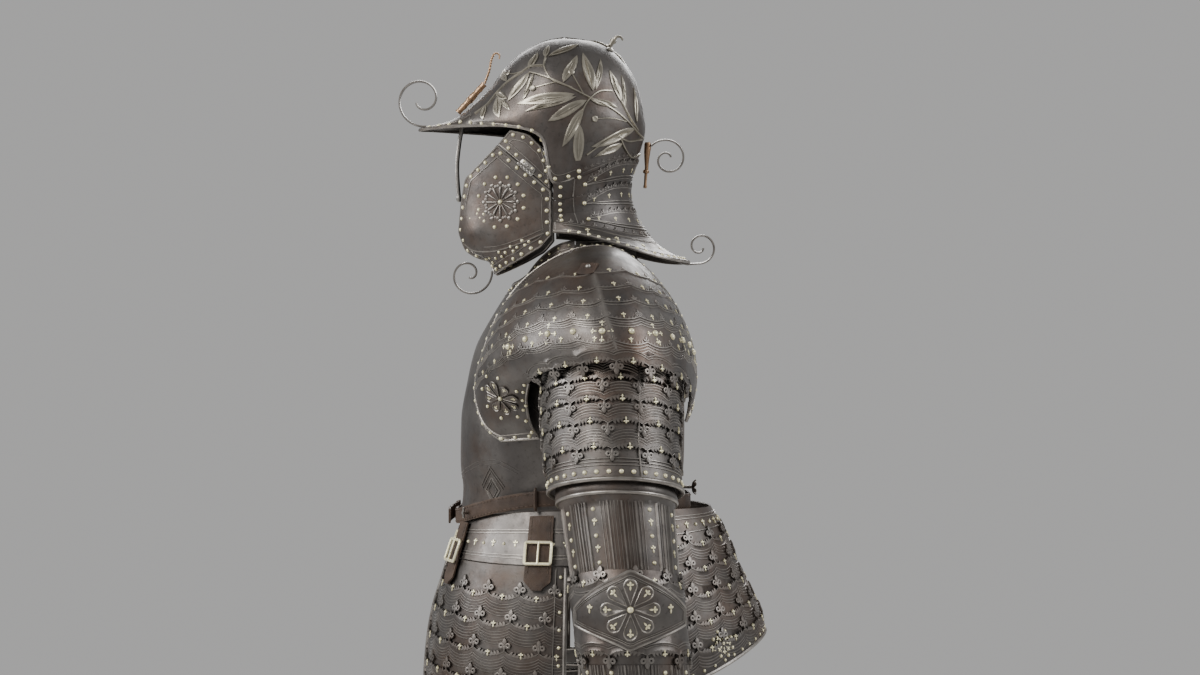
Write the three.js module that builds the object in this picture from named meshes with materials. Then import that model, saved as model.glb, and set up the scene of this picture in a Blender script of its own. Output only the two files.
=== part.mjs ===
// Suit of plate armour: burgonet, gorget, cuirass, pauldrons, arms, fauld, tassets, culet and legs.
// Millimetres, Z up. The wearer faces -Y and the wearer's left is +X. The origin is on the
// body's axis at the base of the neck. Every plate is a thin shell, open where the body goes.
import * as THREE from "three";
import { mergeVertices } from "three/addons/utils/BufferGeometryUtils.js";

// ---- Driving dimensions --------------------------------------------------------------------

const PLATE = 1.6; // thickness of the steel plates
const LEATHER = 3; // thickness of belt and straps
const SEAM = 0.5; // gap between neighbouring plates
const LAME_STEP = 3; // how far each lame stands out over the next one
const SHARPEST_MITRE = 0.5; // cosine of half the sharpest fold that a plate's wall follows

const SKULL_TURNS = [0, 12, 24, 36, 50, 62, 72, 84, 105, 120, 135, 150, 165, 180];
const SKULL_WIDEST_Y = -36; // the skull is widest just in front of the ears
const NAPE_FRONT_Y = -49.5; // front edge of the neck lames, behind the cheeks
const CHEEK_REAR_Y = -52.5; // rear edge of the cheek plates

const TORSO_SQUARE = 2.3; // 2 is an ellipse, more is squarer
const TORSO_MIDDLE_Y = -20; // the side seams of cuirass and skirts
const MEDIAL_RIDGE = 5; // height of the ridge down the breastplate

const ARM_TILT = 16; // degrees that the arms stand away from the body
const FOREARM_TILT = 8;
const ARMPIT = { x: 250, y: 29, z: -200 }; // a point of the arm's axis, drops are measured from it
const ELBOW_DROP = 259;
const LEAN_DROP = 60; // from here down the arm leans backwards
const ARM_LEAN = 0.11;

const FLOOR_Z = -1480;
const HINGE_RADIUS = 3;
const HINGE_LEAF = { thickness: 1.2, length: 10 };
const HINGE_CLEAR = 0.8; // gap between barrel and cheek
const HINGE_ENDS = [[-97, 131.5], [-77, 113.7]]; // [y, z] of the ends of the barrel, on the cheek

const RAD = Math.PI / 180;

// ---- Tables --------------------------------------------------------------------------------

// Names the numbers of each row after the columns.
function table(columns, ...data) {
  return data.map((row) => Object.fromEntries(columns.map((name, i) => [name, row[i]])));
}

// Rings of the helmet's skull from the crown down to the top of the peak.
const SKULL = table(
  ["front", "back", "half", "frontZ", "sideZ", "backZ"],
  [SKULL_WIDEST_Y, SKULL_WIDEST_Y, 0, 313, 313, 313],
  [-67, 12, 40, 306, 304, 305],
  [-98, 38, 68, 288, 285, 288],
  [-121, 57, 86, 265, 260, 262],
  [-138, 67, 95, 243, 236, 236],
  [-159, 73, 99, 222, 210, 208],
  [-190, 76, 99, 199, 186, 178],
);

// The lower edge of peak and face opening, from the tip of the peak to the ear.
const PEAK_RIM = table(
  ["x", "y", "z"],
  [0, -239, 185],
  [20, -222, 186],
  [43, -192, 186],
  [65, -152, 185],
  [84, -112, 182],
  [94, -80, 175],
  [96, -62, 160],
  [96, -50, 105],
);

// Edges between the lames of the neck guard, from the skull down to its flared rim.
const NAPE = table(
  ["half", "flare", "back", "edgeZ", "backZ"],
  [96, 0, 66, 104, 139],
  [95, 0, 57, 80, 106],
  [94, 2, 63, 63, 70],
  [94, 14, 84, 51, 36],
  [94, 36, 106, 45, 16],
  [94, 60, 139, 38, 0],
);

// Where the face surface would meet the median plane, and its half width, at each height.
const FACE = table(
  ["z", "reach", "half"],
  [180, -190, 93.4],
  [112, -190, 93.4],
  [41, -188, 92],
  [14, -178, 90],
  [4, -160, 90],
  [2, -146, 90],
  [-20, -136, 92],
);

// Sections of the cuirass.
const TORSO = table(
  ["z", "front", "back", "half"],
  [0, -72, 66, 74],
  [-20, -92, 84, 102],
  [-45, -112, 100, 132],
  [-80, -134, 118, 146],
  [-120, -155, 128, 150],
  [-170, -167, 131, 152],
  [-220, -175, 132, 150],
  [-280, -176, 131, 143],
  [-318, -172, 126, 137],
  [-352, -176, 133, 137],
);

// Upper edges of breastplate and backplate against the turn from their own middle.
const BREAST_TOP = table(
  ["turn", "z"],
  [0, -33],
  [20, -27],
  [36, -15],
  [48, -17],
  [57, -50],
  [67, -105],
  [78, -140],
  [90, -150],
);
const BACK_TOP = table(
  ["turn", "z"],
  [0, -18],
  [30, -12],
  [48, -17],
  [57, -60],
  [67, -110],
  [78, -142],
  [90, -150],
);

const GORGET = table(
  ["front", "back", "half", "frontZ", "sideZ", "backZ"],
  [-94, 62, 74, -30, 26, 32],
  [-98, 68, 80, -52, -4, 0],
  [-118, 88, 102, -88, -34, -40],
);

// Sections of the skirts: front is the fauld and tassets, back is the culet. The rise is how
// much higher a ring runs at the sides than at the front.
const SKIRT_FRONT = table(
  ["z", "front", "half", "rise"],
  [-336, -173, 135, 14],
  [-352, -177, 139, 14],
  [-375, -184, 152, 6],
  [-405, -194, 167, -3],
  [-440, -205, 177, -10],
  [-475, -216, 186, -13],
  [-510, -223, 192, -14],
  [-545, -227, 197, -14],
  [-580, -229, 200, -14],
  [-620, -229, 203, -14],
);
const CULET = table(
  ["back", "half", "backZ", "sideZ"],
  [168, 141, -340, -336],
  [182, 149, -362, -372],
  [196, 165, -393, -412],
  [209, 178, -425, -452],
  [225, 188, -458, -496],
  [238, 197, -486, -540],
  [246, 204, -514, -590],
);
const FAULD_TOP_Z = -352;
const FAULD_BOTTOM_Z = -405;
const TASSET_LAMES = 6;
const TASSET_PITCH = 33;

// The pauldron: its outer rim round neck and chest, and the edge of its arm opening.
const PAULDRON = table(
  ["rimX", "rimY", "rimZ", "armX", "armY", "armZ"],
  [150, -116, -244, 165, -64, -240],
  [135, -141, -224, 175, -74, -222],
  [122, -153, -190, 196, -79, -198],
  [118, -153, -160, 228, -77, -176],
  [118, -143, -124, 266, -70, -160],
  [118, -126, -80, 302, -48, -150],
  [119, -98, -38, 328, -12, -144],
  [123, -60, -6, 342, 15, -142],
  [126, -12, 15, 345, 38, -142],
  [126, 34, 14, 338, 64, -146],
  [126, 74, -11, 320, 88, -152],
  [122, 106, -48, 292, 111, -160],
  [119, 127, -86, 258, 125, -172],
  [118, 140, -125, 226, 130, -186],
  [120, 143, -165, 200, 130, -202],
  [128, 137, -200, 184, 127, -218],
);
const PAULDRON_CURL = 88; // degrees that the shoulder turns from the rim to the arm opening

// Radii of the arm's plates. Drop is measured down the arm's axis from the armpit.
const SPAUDLER = table(
  ["drop", "radius"],
  [-66, 87],
  [-16, 91],
  [10, 90],
  [37, 88],
  [68, 86],
  [103, 85],
);
const UPPER_CANNON = table(
  ["drop", "radius"],
  [98, 76],
  [117, 79],
  [123, 71],
  [150, 70],
  [210, 67],
);
const ELBOW = table(
  ["drop", "radius"],
  [206, 69.5],
  [230, 72],
  [259, 73],
  [289, 71],
  [314, 68.5],
);
const LOWER_CANNON = table(
  ["drop", "radius"],
  [310, 66],
  [350, 65],
  [420, 57],
  [490, 44],
);
const COUTER = { radius: 78, bulge: 8, spread: 62, halfHeight: 49, tipHalfHeight: 11 };

// The gauntlet: half thickness and half width of each section, and how far it wraps.
const GAUNTLET = table(
  ["drop", "across", "along", "wrap"],
  [446, 64, 68, 165],
  [474, 52, 57, 165],
  [500, 46, 52, 160],
  [540, 30, 52, 115],
  [600, 28, 50, 100],
  [650, 26, 46, 92],
  [688, 16, 40, 85],
);

// Sections of the legs, left side.
const LEG_COLUMNS = ["z", "x", "y", "across", "along"];
const CUISSE = table(
  LEG_COLUMNS,
  [-566, 104, 8, 83, 94],
  [-720, 104, 6, 78, 86],
  [-840, 102, 2, 70, 76],
  [-932, 102, -2, 63, 67],
);
const POLEYN = table(
  LEG_COLUMNS,
  [-924, 102, -2, 70, 76],
  [-958, 102, -2, 72, 82],
  [-992, 102, -2, 74, 88],
  [-1026, 102, 0, 71, 80],
  [-1056, 102, 2, 66, 70],
);
const GREAVE = table(
  LEG_COLUMNS,
  [-1048, 102, 6, 59, 62],
  [-1130, 103, 14, 62, 70],
  [-1250, 104, 12, 51, 58],
  [-1390, 104, 8, 41, 47],
);
const CUISSE_WRAP = 105;
const POLEYN_WRAP = 95;
const SABATON = table(
  ["y", "half", "height"],
  [-44, 46, 84],
  [-95, 51, 62],
  [-145, 50, 46],
  [-185, 42, 38],
  [-212, 26, 30],
  [-224, 10, 20],
);
const FOOT_X = 106;

// ---- Materials -----------------------------------------------------------------------------

const steel = (color) =>
  new THREE.MeshStandardMaterial({ color, roughness: 0.42, metalness: 1 });
const DARK_STEEL = steel(0x6a6460);
const BRIGHT_STEEL = steel(0xa8a5a0);
const COPPER = new THREE.MeshStandardMaterial({ color: 0x96693f, roughness: 0.4, metalness: 1 });
const BRASS = new THREE.MeshStandardMaterial({ color: 0xcfc48d, roughness: 0.35, metalness: 1 });
const BELT_LEATHER = new THREE.MeshStandardMaterial({ color: 0x5a3f28, roughness: 0.75 });

// ---- Geometry helpers ----------------------------------------------------------------------

const vec = (x, y, z) => new THREE.Vector3(x, y, z);
const lerp = THREE.MathUtils.lerp;
const smooth = (t) => THREE.MathUtils.smoothstep(t, 0, 1);
const signedPower = (value, power) => Math.sign(value) * Math.abs(value) ** power;
const mirrored = (p) => vec(-p.x, p.y, p.z);

// The row of a table at a value of its first column, which rises or falls steadily.
function rowAt(rows, key, value) {
  const falling = rows[0][key] > rows[1][key];
  const passed = (row) => (falling ? row[key] < value : row[key] > value);
  const next = THREE.MathUtils.clamp(rows.findIndex(passed), -1, rows.length - 1);
  const k = next === -1 ? rows.length - 1 : Math.max(next, 1);
  const [a, b] = [rows[k - 1], rows[k]];
  const t = (value - a[key]) / (b[key] - a[key]);
  return Object.fromEntries(Object.keys(a).map((name) => [name, lerp(a[name], b[name], t)]));
}

// A grid of points: down + 1 rows of across + 1 points.
function grid(down, across, point) {
  return Array.from({ length: down + 1 }, (_, j) =>
    Array.from({ length: across + 1 }, (_, i) => point(j, i)),
  );
}

// A point a fraction t along a chain of [y, z] corners.
function alongChain(corners, t) {
  const lengths = corners.slice(1).map((c, i) => Math.hypot(c[0] - corners[i][0], c[1] - corners[i][1]));
  let rest = t * lengths.reduce((sum, length) => sum + length, 0);
  let k = 0;
  while (k < lengths.length - 1 && rest > lengths[k]) {
    rest -= lengths[k];
    k += 1;
  }
  const share = rest / lengths[k];
  return [0, 1].map((axis) => lerp(corners[k][axis], corners[k + 1][axis], share));
}

// A point of the patch that four chains of corners bound (a Coons patch).
function patchPoint({ top, bottom, rear, front }, u, v) {
  const [t, b] = [alongChain(top, u), alongChain(bottom, u)];
  const [r, f] = [alongChain(rear, v), alongChain(front, v)];
  return [0, 1].map((axis) => {
    const corners = lerp(
      lerp(top[0][axis], top.at(-1)[axis], u),
      lerp(bottom[0][axis], bottom.at(-1)[axis], u),
      v,
    );
    return lerp(t[axis], b[axis], v) + lerp(r[axis], f[axis], u) - corners;
  });
}

// A closed solid from points and faces, turned so that its faces point outwards.
function solid(points, faces) {
  const geometry = new THREE.BufferGeometry();
  geometry.setAttribute(
    "position",
    new THREE.Float32BufferAttribute(points.flatMap((p) => [p.x, p.y, p.z]), 3),
  );
  geometry.setIndex(faces.flat());
  const merged = mergeVertices(geometry, 1e-3);
  const at = (k) => vec().fromBufferAttribute(merged.getAttribute("position"), k);
  let volume = 0;
  let kept = [];
  for (let k = 0; k < merged.index.count; k += 3) {
    const face = [0, 1, 2].map((corner) => merged.index.getX(k + corner));
    if (new Set(face).size < 3) continue;
    const [a, b, c] = face.map(at);
    volume += a.dot(b.cross(c));
    kept.push(face);
  }
  if (volume < 0) kept = kept.map(([a, b, c]) => [a, c, b]);
  merged.setIndex(kept.flat());
  merged.computeVertexNormals();
  return merged;
}

// The directions in which a grid's surface grows by one millimetre at each point, on the side
// that faces away from the inside point. Where the surface folds they are longer, as in a mitre.
function gridNormals(rows, closed, inside) {
  const last = rows[0].length - 1;
  const wrap = (i) => (closed ? (i + last) % last : THREE.MathUtils.clamp(i, 0, last));
  let facing = 0;
  const normals = rows.map((row, j) =>
    row.map((p, i) => {
      const across = row[wrap(i + 1)].clone().sub(row[wrap(i - 1)]);
      const below = rows[Math.min(j + 1, rows.length - 1)];
      const above = rows[Math.max(j - 1, 0)];
      if (across.length() < 1e-6) across.subVectors(below[wrap(i + 1)], below[wrap(i - 1)]);
      const steps = [p.clone().sub(above[i]), below[i].clone().sub(p)];
      const sides = steps.filter((step) => step.length() > 1e-6).map((step) => across.clone().cross(step).normalize());
      const normal = sides.reduce((sum, n) => sum.add(n), vec(0, 0, 0)).normalize();
      facing += normal.dot(p.clone().sub(inside));
      return normal.divideScalar(Math.max(normal.dot(sides[0]), SHARPEST_MITRE));
    }),
  );
  const side = Math.sign(facing);
  return normals.map((row, j) => {
    const pole = rows[j][0].distanceTo(rows[j][Math.floor(last / 2)]) < 1e-6;
    const mean = row.reduce((sum, n) => sum.add(n), vec(0, 0, 0)).normalize();
    return row.map((n) => (pole ? mean : n).clone().multiplyScalar(side));
  });
}

// A plate of even thickness whose outer face is the grid.
// closed joins the last column to the first, and inside is a point on the hollow side.
function plate(rows, { wall = PLATE, closed = false, inside = vec(0, 0, 0) } = {}) {
  const normals = gridNormals(rows, closed, inside);
  const wide = rows[0].length;
  const tall = rows.length;
  const inner = rows.map((row, j) => row.map((p, i) => p.clone().addScaledVector(normals[j][i], -wall)));
  const points = [...rows.flat(), ...inner.flat()];
  const index = (layer, j, i) => layer * tall * wide + j * wide + (closed ? i % (wide - 1) : i);
  const faces = [];
  const quad = (a, b, c, d) => faces.push([a, b, c], [a, c, d]);
  for (let j = 0; j < tall - 1; j++) {
    for (let i = 0; i < wide - 1; i++) {
      quad(index(0, j, i), index(0, j, i + 1), index(0, j + 1, i + 1), index(0, j + 1, i));
      quad(index(1, j, i), index(1, j + 1, i), index(1, j + 1, i + 1), index(1, j, i + 1));
    }
    if (!closed) {
      quad(index(0, j, 0), index(0, j + 1, 0), index(1, j + 1, 0), index(1, j, 0));
      quad(index(0, j, wide - 1), index(1, j, wide - 1), index(1, j + 1, wide - 1), index(0, j + 1, wide - 1));
    }
  }
  for (let i = 0; i < wide - 1; i++) {
    quad(index(0, 0, i), index(1, 0, i), index(1, 0, i + 1), index(0, 0, i + 1));
    quad(index(0, tall - 1, i), index(0, tall - 1, i + 1), index(1, tall - 1, i + 1), index(1, tall - 1, i));
  }
  return solid(points, faces);
}

// Turns the rows of a smooth table into overlapping lames: each one's lower edge stands
// LAME_STEP proud of the upper edge of the one below it. A radius named with -1 does the
// opposite, so that the upper edges stand proud.
function lameRows(rows, radiusNames) {
  const moved = (row, amount) => {
    const names = Object.keys(row);
    const value = (name) => row[name] + amount * (radiusNames[name] ?? 0);
    return Object.fromEntries(names.map((name) => [name, value(name)]));
  };
  return rows.slice(1).flatMap((row, k) => [moved(rows[k], -LAME_STEP / 2), moved(row, LAME_STEP / 2)]);
}

const group = new THREE.Group();

function add(name, geometry, material) {
  const mesh = new THREE.Mesh(geometry, material);
  mesh.name = name;
  group.add(mesh);
  return mesh;
}

// Adds a left piece from its grid, and its mirror image on the right.
function addPair(name, rows, material, options = {}) {
  const inside = options.inside ?? vec(0, 0, 0);
  add(`${name}_l`, plate(rows, options), material);
  const right = rows.map((row) => row.map(mirrored));
  add(`${name}_r`, plate(right, { ...options, inside: mirrored(inside) }), material);
}

// A bar of the given outline swept along a smooth path.
function sweep(outline, path, steps) {
  const geometry = new THREE.ExtrudeGeometry(outline, {
    steps,
    bevelEnabled: false,
    extrudePath: new THREE.CatmullRomCurve3(path),
  });
  geometry.deleteAttribute("normal");
  geometry.deleteAttribute("uv");
  return geometry;
}

function polygon(corners) {
  return new THREE.Shape(corners.map(([x, y]) => new THREE.Vector2(x, y)));
}

function disc(radius, sides) {
  const turn = (2 * Math.PI) / sides;
  const corner = (_, k) => [radius * Math.cos(k * turn), radius * Math.sin(k * turn)];
  return polygon(Array.from({ length: sides }, corner));
}

// A flat outline in (y, z), given a width along X about the plane x = middle.
function slab(outline, width, middle = 0) {
  const geometry = new THREE.ExtrudeGeometry(outline, { depth: width, bevelEnabled: false });
  geometry.deleteAttribute("normal");
  geometry.deleteAttribute("uv");
  const turn = new THREE.Matrix4().makeBasis(vec(0, 1, 0), vec(0, 0, 1), vec(1, 0, 0));
  return geometry.applyMatrix4(turn).translate(middle - width / 2, 0, 0);
}

// A steel ribbon rolled into a spiral in the plane x = middle, after an optional lead-in.
function scroll({ centre, radii, start, sweepAngle, leadIn = [], width, middle = 0 }) {
  const steps = Math.round(Math.abs(sweepAngle) / 26);
  const turns = Array.from({ length: steps + 1 }, (_, k) => {
    const angle = (start + (sweepAngle * k) / steps) * RAD;
    const radius = lerp(radii[0], radii[1], k / steps);
    return new THREE.Vector2(centre[0] + radius * Math.cos(angle), centre[1] + radius * Math.sin(angle));
  });
  const line = [...leadIn.map(([y, z]) => new THREE.Vector2(y, z)), ...turns];
  const sides = line.map((p, k) => {
    const ahead = line[Math.min(k + 1, line.length - 1)];
    const behind = line[Math.max(k - 1, 0)];
    const along = ahead.clone().sub(behind).normalize().multiplyScalar(PLATE / 2);
    return [new THREE.Vector2(p.x - along.y, p.y + along.x), new THREE.Vector2(p.x + along.y, p.y - along.x)];
  });
  const outline = [...sides.map((pair) => pair[0]), ...sides.map((pair) => pair[1]).reverse()];
  return slab(new THREE.Shape(outline), width, middle);
}

// A frame of the given size with a window in it, for a buckle, lying in its own XY plane.
function buckleFrame(width, height, bar, thickness) {
  const rectangle = (w, h) => [
    [-w / 2, -h / 2],
    [w / 2, -h / 2],
    [w / 2, h / 2],
    [-w / 2, h / 2],
  ];
  const shape = polygon(rectangle(width, height));
  shape.holes.push(new THREE.Path(polygon(rectangle(width - 2 * bar, height - 2 * bar)).getPoints()));
  return new THREE.ExtrudeGeometry(shape, { depth: thickness, bevelEnabled: false });
}

// ---- Surfaces ------------------------------------------------------------------------------

// A point of a ring round the body. The turn is in degrees from the front over the left side.
function ringPoint({ front, back, half, frontZ, sideZ, backZ }, turn, middle, square = 2) {
  const [sin, cos] = [Math.sin(turn * RAD), Math.cos(turn * RAD)];
  const reach = cos > 0 ? middle - front : back - middle;
  const endZ = cos > 0 ? frontZ : backZ;
  return vec(
    half * signedPower(sin, 2 / square),
    middle - reach * signedPower(cos, 2 / square),
    lerp(sideZ, endZ, cos * cos),
  );
}

// A point of the cuirass at a height, with the ridge down the middle of the breast.
function torsoPoint(turn, z) {
  const row = rowAt(TORSO, "z", z);
  const point = ringPoint({ ...row, frontZ: z, sideZ: z, backZ: z }, turn, TORSO_MIDDLE_Y, TORSO_SQUARE);
  point.y -= MEDIAL_RIDGE * Math.exp(-((turn / 14) ** 2));
  return point;
}

// A point of the fauld or tassets: level is the height at the front, and the sides are higher.
function skirtPoint(turn, level, out = 0) {
  const row = rowAt(SKIRT_FRONT, "z", level);
  const ring = { front: row.front - out, half: row.half + out, frontZ: level, sideZ: level + row.rise };
  return ringPoint({ ...ring, back: 0, backZ: 0 }, turn, TORSO_MIDDLE_Y, TORSO_SQUARE);
}

// The half width of the helmet's face at a point of its side view.
function faceX(y, z) {
  const { reach, half } = rowAt(FACE, "z", z);
  const middle = CHEEK_REAR_Y;
  const share = y < middle ? (y - middle) / (reach - middle) : 0;
  return half * Math.sqrt(1 - share * share);
}

const facePoint = ([y, z]) => vec(faceX(y, z), y, z);

// A point of a section across the left arm. Turn 0 is the front, 90 the outside.
function armPoint({ drop, across, along }, turn, lift = 0) {
  const centre = armCentre(drop);
  const tilt = (drop < ELBOW_DROP + 20 ? ARM_TILT : FOREARM_TILT) * RAD;
  const outward = across * Math.sin(turn * RAD);
  const x = centre.x + outward * Math.cos(tilt);
  const y = centre.y - along * Math.cos(turn * RAD);
  return vec(x, y, centre.z + outward * Math.sin(tilt) + lift);
}

// The arm's axis at a drop below the armpit: it bends at the elbow.
function armCentre(drop) {
  const below = Math.max(0, drop - ELBOW_DROP);
  const x = (drop - below) * Math.tan(ARM_TILT * RAD) + below * Math.tan(FOREARM_TILT * RAD);
  const y = ARM_LEAN * Math.max(0, drop - LEAN_DROP);
  return vec(ARMPIT.x + x, ARMPIT.y + y, ARMPIT.z - drop);
}

function legPoint({ x, y, z, across, along }, turn) {
  return vec(x + across * Math.sin(turn * RAD), y - along * Math.cos(turn * RAD), z);
}

// ---- Helmet --------------------------------------------------------------------------------

const HEAD_CENTRE = vec(0, -40, 180);

// The skull's lower edge: the peak and face opening, then the top of the neck lames.
function skullRimPoint(k) {
  if (k < PEAK_RIM.length) {
    return vec(PEAK_RIM[k].x, PEAK_RIM[k].y, PEAK_RIM[k].z);
  }
  const rest = (SKULL_TURNS[k] - 90) / 90;
  return napePoint(NAPE[0], 1 - Math.max(0, rest)).setZ(napePoint(NAPE[0], 1 - rest).z + SEAM);
}

// A point of the neck guard: side 1 is the left edge, 0 the back and -1 the right edge.
function napePoint({ half, flare, back, edgeZ, backZ }, side) {
  const turn = side * 90 * RAD;
  const share = Math.cos(turn);
  return vec(
    Math.sin(turn) * (half + flare * share),
    lerp(NAPE_FRONT_Y, back, share),
    lerp(edgeZ, backZ, smooth(share)),
  );
}

function skull() {
  const turns = [...SKULL_TURNS, ...SKULL_TURNS.slice(0, -1).reverse().map((turn) => -turn)];
  const columns = turns.length - 1;
  const half = SKULL_TURNS.length - 1;
  const rows = grid(SKULL.length, columns, (j, i) => {
    const k = i <= half ? i : columns - i;
    const point = j < SKULL.length ? ringPoint(SKULL[j], SKULL_TURNS[k], SKULL_WIDEST_Y) : skullRimPoint(k);
    return i <= half ? point : mirrored(point);
  });
  add("skull", plate(rows, { closed: true, inside: HEAD_CENTRE }), DARK_STEEL);
}

function neckGuard() {
  const across = 12;
  const pieces = [
    ["nape_lame_1", [0, 1]],
    ["nape_lame_2", [1, 2]],
    ["nape_lame_3", [2, 3]],
    ["nape_tail", [3, 4, 5]],
  ];
  for (const [name, edges] of pieces) {
    const rows = grid(edges.length - 1, across, (j, i) => {
      const point = napePoint(NAPE[edges[j]], 1 - (2 * i) / across);
      if (j === 0) point.z -= SEAM;
      return point;
    });
    add(name, plate(rows, { inside: HEAD_CENTRE }), DARK_STEEL);
  }
}

// The diagonal seam between the fixed upper cheek plate and the hinged lower one.
const SEAM_FRONT = [-125.5, 157];
const SEAM_REAR = [CHEEK_REAR_Y, 93];

function seamShifted([y, z], distance) {
  const along = [SEAM_REAR[0] - SEAM_FRONT[0], SEAM_REAR[1] - SEAM_FRONT[1]];
  const length = Math.hypot(...along);
  return [y - (distance * along[1]) / length, z + (distance * along[0]) / length];
}

function cheeks() {
  const clear = 0.7;
  const lower = {
    top: [[CHEEK_REAR_Y, SEAM_REAR[1] - clear], seamShifted(SEAM_FRONT, -clear)],
    bottom: [[CHEEK_REAR_Y, 33], [-66, 17], [-95, 0], [-132, -18]],
    rear: [[CHEEK_REAR_Y, SEAM_REAR[1] - clear], [CHEEK_REAR_Y, 33]],
    front: [
      seamShifted(SEAM_FRONT, -clear),
      [-151, 132],
      [-172, 112],
      [-178, 81],
      [-182, 41],
      [-173, 14],
      [-156, 5],
      [-141, 2],
      [-132, -18],
    ],
  };
  const upper = {
    top: [[-58, 128], [-67, 154], [-83, 170], [-108, 176]],
    bottom: [[CHEEK_REAR_Y - 1, SEAM_REAR[1] + 2], seamShifted(SEAM_FRONT, clear)],
    rear: [[-58, 128], [CHEEK_REAR_Y - 1, SEAM_REAR[1] + 2]],
    front: [[-108, 176], seamShifted(SEAM_FRONT, clear)],
  };
  const lowerRows = grid(8, 5, (j, i) => facePoint(patchPoint(lower, i / 5, j / 8)));
  const upperRows = grid(3, 4, (j, i) => facePoint(patchPoint(upper, i / 4, j / 3)));
  addPair("cheek", lowerRows, DARK_STEEL, { inside: HEAD_CENTRE });
  addPair("cheek_upper", upperRows, DARK_STEEL, { inside: HEAD_CENTRE });
}

// The barrel of a cheek's hinge with the leaf by which it is riveted to the upper plate.
function cheekHinges() {
  const [front, rear] = HINGE_ENDS.map(facePoint);
  const along = front.clone().sub(rear);
  const length = along.length();
  along.normalize();
  const [frontEnd, rearEnd] = HINGE_ENDS;
  const middle = [(frontEnd[0] + rearEnd[0]) / 2, (frontEnd[1] + rearEnd[1]) / 2];
  const behind = [middle[0] + HINGE_LEAF.length * along.z, middle[1] - HINGE_LEAF.length * along.y];
  const up = facePoint(behind).sub(facePoint(middle));
  up.addScaledVector(along, -along.dot(up)).normalize();
  const out = vec().crossVectors(up, along);
  const round = Array.from({ length: 9 }, (_, k) => {
    const angle = (110 - k * 36) * RAD;
    return [HINGE_RADIUS * Math.cos(angle), HINGE_RADIUS * Math.sin(angle)];
  });
  const leaf = [
    [HINGE_LEAF.thickness - HINGE_RADIUS, HINGE_LEAF.length],
    [-HINGE_RADIUS, HINGE_LEAF.length],
  ];
  const outline = polygon([...round.reverse(), leaf[0], leaf[1], [-HINGE_RADIUS, 0]].reverse());
  const geometry = new THREE.ExtrudeGeometry(outline, { depth: length, bevelEnabled: false });
  const origin = rear.clone().addScaledVector(out, HINGE_RADIUS + HINGE_CLEAR);
  geometry.applyMatrix4(new THREE.Matrix4().makeBasis(out, up, along).setPosition(origin));
  add("cheek_hinge_l", geometry, BRIGHT_STEEL);
  const other = add("cheek_hinge_r", geometry, BRIGHT_STEEL);
  other.scale.x = -1;
}

function nasal() {
  const bar = polygon([[-3.5, -1.5], [3.5, -1.5], [3.5, 1.5], [-3.5, 1.5]]);
  const barPath = [vec(0, -178, 192), vec(0, -183, 165), vec(0, -186, 130), vec(0, -183, 84)];
  add("nasal_bar", sweep(bar, barPath, 8), BRIGHT_STEEL);
  const clampPath = [vec(0, -185, 209), vec(0, -166, 229), vec(0, -148, 249)];
  add("nasal_clamp", sweep(disc(4.5, 8), clampPath, 2), COPPER);
  const rodPath = [
    vec(0, -147.5, 249.8),
    vec(0, -141, 268),
    vec(0, -138, 283),
    vec(0, -133, 292),
    vec(0, -127, 290),
    vec(0, -127, 284),
  ];
  add("nasal_rod", sweep(disc(2, 6), rodPath, 12), COPPER);
}

const SCROLLS = {
  peak_scroll: { centre: [-235, 227], radii: [38, 9], start: -80, sweepAngle: -430, width: 14 },
  nape_scroll: { centre: [108.5, 144], radii: [29, 5], start: 141, sweepAngle: -470, width: 10 },
  tail_scroll: {
    centre: [154, 21],
    radii: [24, 5],
    start: -100,
    sweepAngle: 440,
    leadIn: [[124, -0.5], [136, -3.6]],
    width: 12,
  },
  chin_scroll: { centre: [-168, -18], radii: [32, 4], start: 8, sweepAngle: -455, width: 8, middle: 20 },
};

function helmetFittings() {
  for (const [name, sizes] of Object.entries(SCROLLS)) {
    add(name, scroll(sizes), BRIGHT_STEEL);
  }
  const holder = [[0, 0], [2.6, 0], [3, 30], [4.2, 48], [4.4, 62], [3.2, 65], [0, 65]];
  const holderMesh = add("plume_holder", lathe(holder, 8), COPPER);
  holderMesh.rotation.x = -0.06;
  holderMesh.position.set(0, 77, 103);
  const finial = [[0, 0], [9, 0], [9, 2], [4, 4], [3.5, 9], [5, 12], [3, 15], [0, 16]];
  const finialMesh = add("crown_finial", lathe(finial, 10), BRIGHT_STEEL);
  finialMesh.rotation.x = -0.58;
  finialMesh.position.set(0, 26, 299.4);
}

// A turned piece from [radius, height] corners, standing on its own XY plane.
function lathe(profile, sides) {
  const corners = profile.map(([radius, height]) => new THREE.Vector2(radius, height));
  const geometry = new THREE.LatheGeometry(corners, sides).rotateX(Math.PI / 2);
  geometry.deleteAttribute("normal");
  geometry.deleteAttribute("uv");
  const merged = mergeVertices(geometry, 1e-3);
  const place = merged.getAttribute("position");
  const points = Array.from({ length: place.count }, (_, k) => vec().fromBufferAttribute(place, k));
  const index = Array.from(merged.index.array);
  return solid(points, Array.from({ length: index.length / 3 }, (_, k) => index.slice(3 * k, 3 * k + 3)));
}

// ---- Gorget and cuirass --------------------------------------------------------------------

const CHEST_CENTRE = vec(0, TORSO_MIDDLE_Y, -200);

function gorget() {
  const across = 10;
  const half = (name, from, to) => {
    const turn = (i) => lerp(from, to, i / across);
    const rows = grid(GORGET.length - 1, across, (j, i) => ringPoint(GORGET[j], turn(i), TORSO_MIDDLE_Y));
    add(name, plate(rows, { inside: vec(0, -20, -60) }), DARK_STEEL);
  };
  half("gorget_front", -89.6, 89.6);
  half("gorget_back", 90.4, 269.6);
}

const CUIRASS_TURNS = [-89.7, -77, -66, -56, -46, -32, -16, 0, 16, 32, 46, 56, 66, 77, 89.7];

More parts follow.
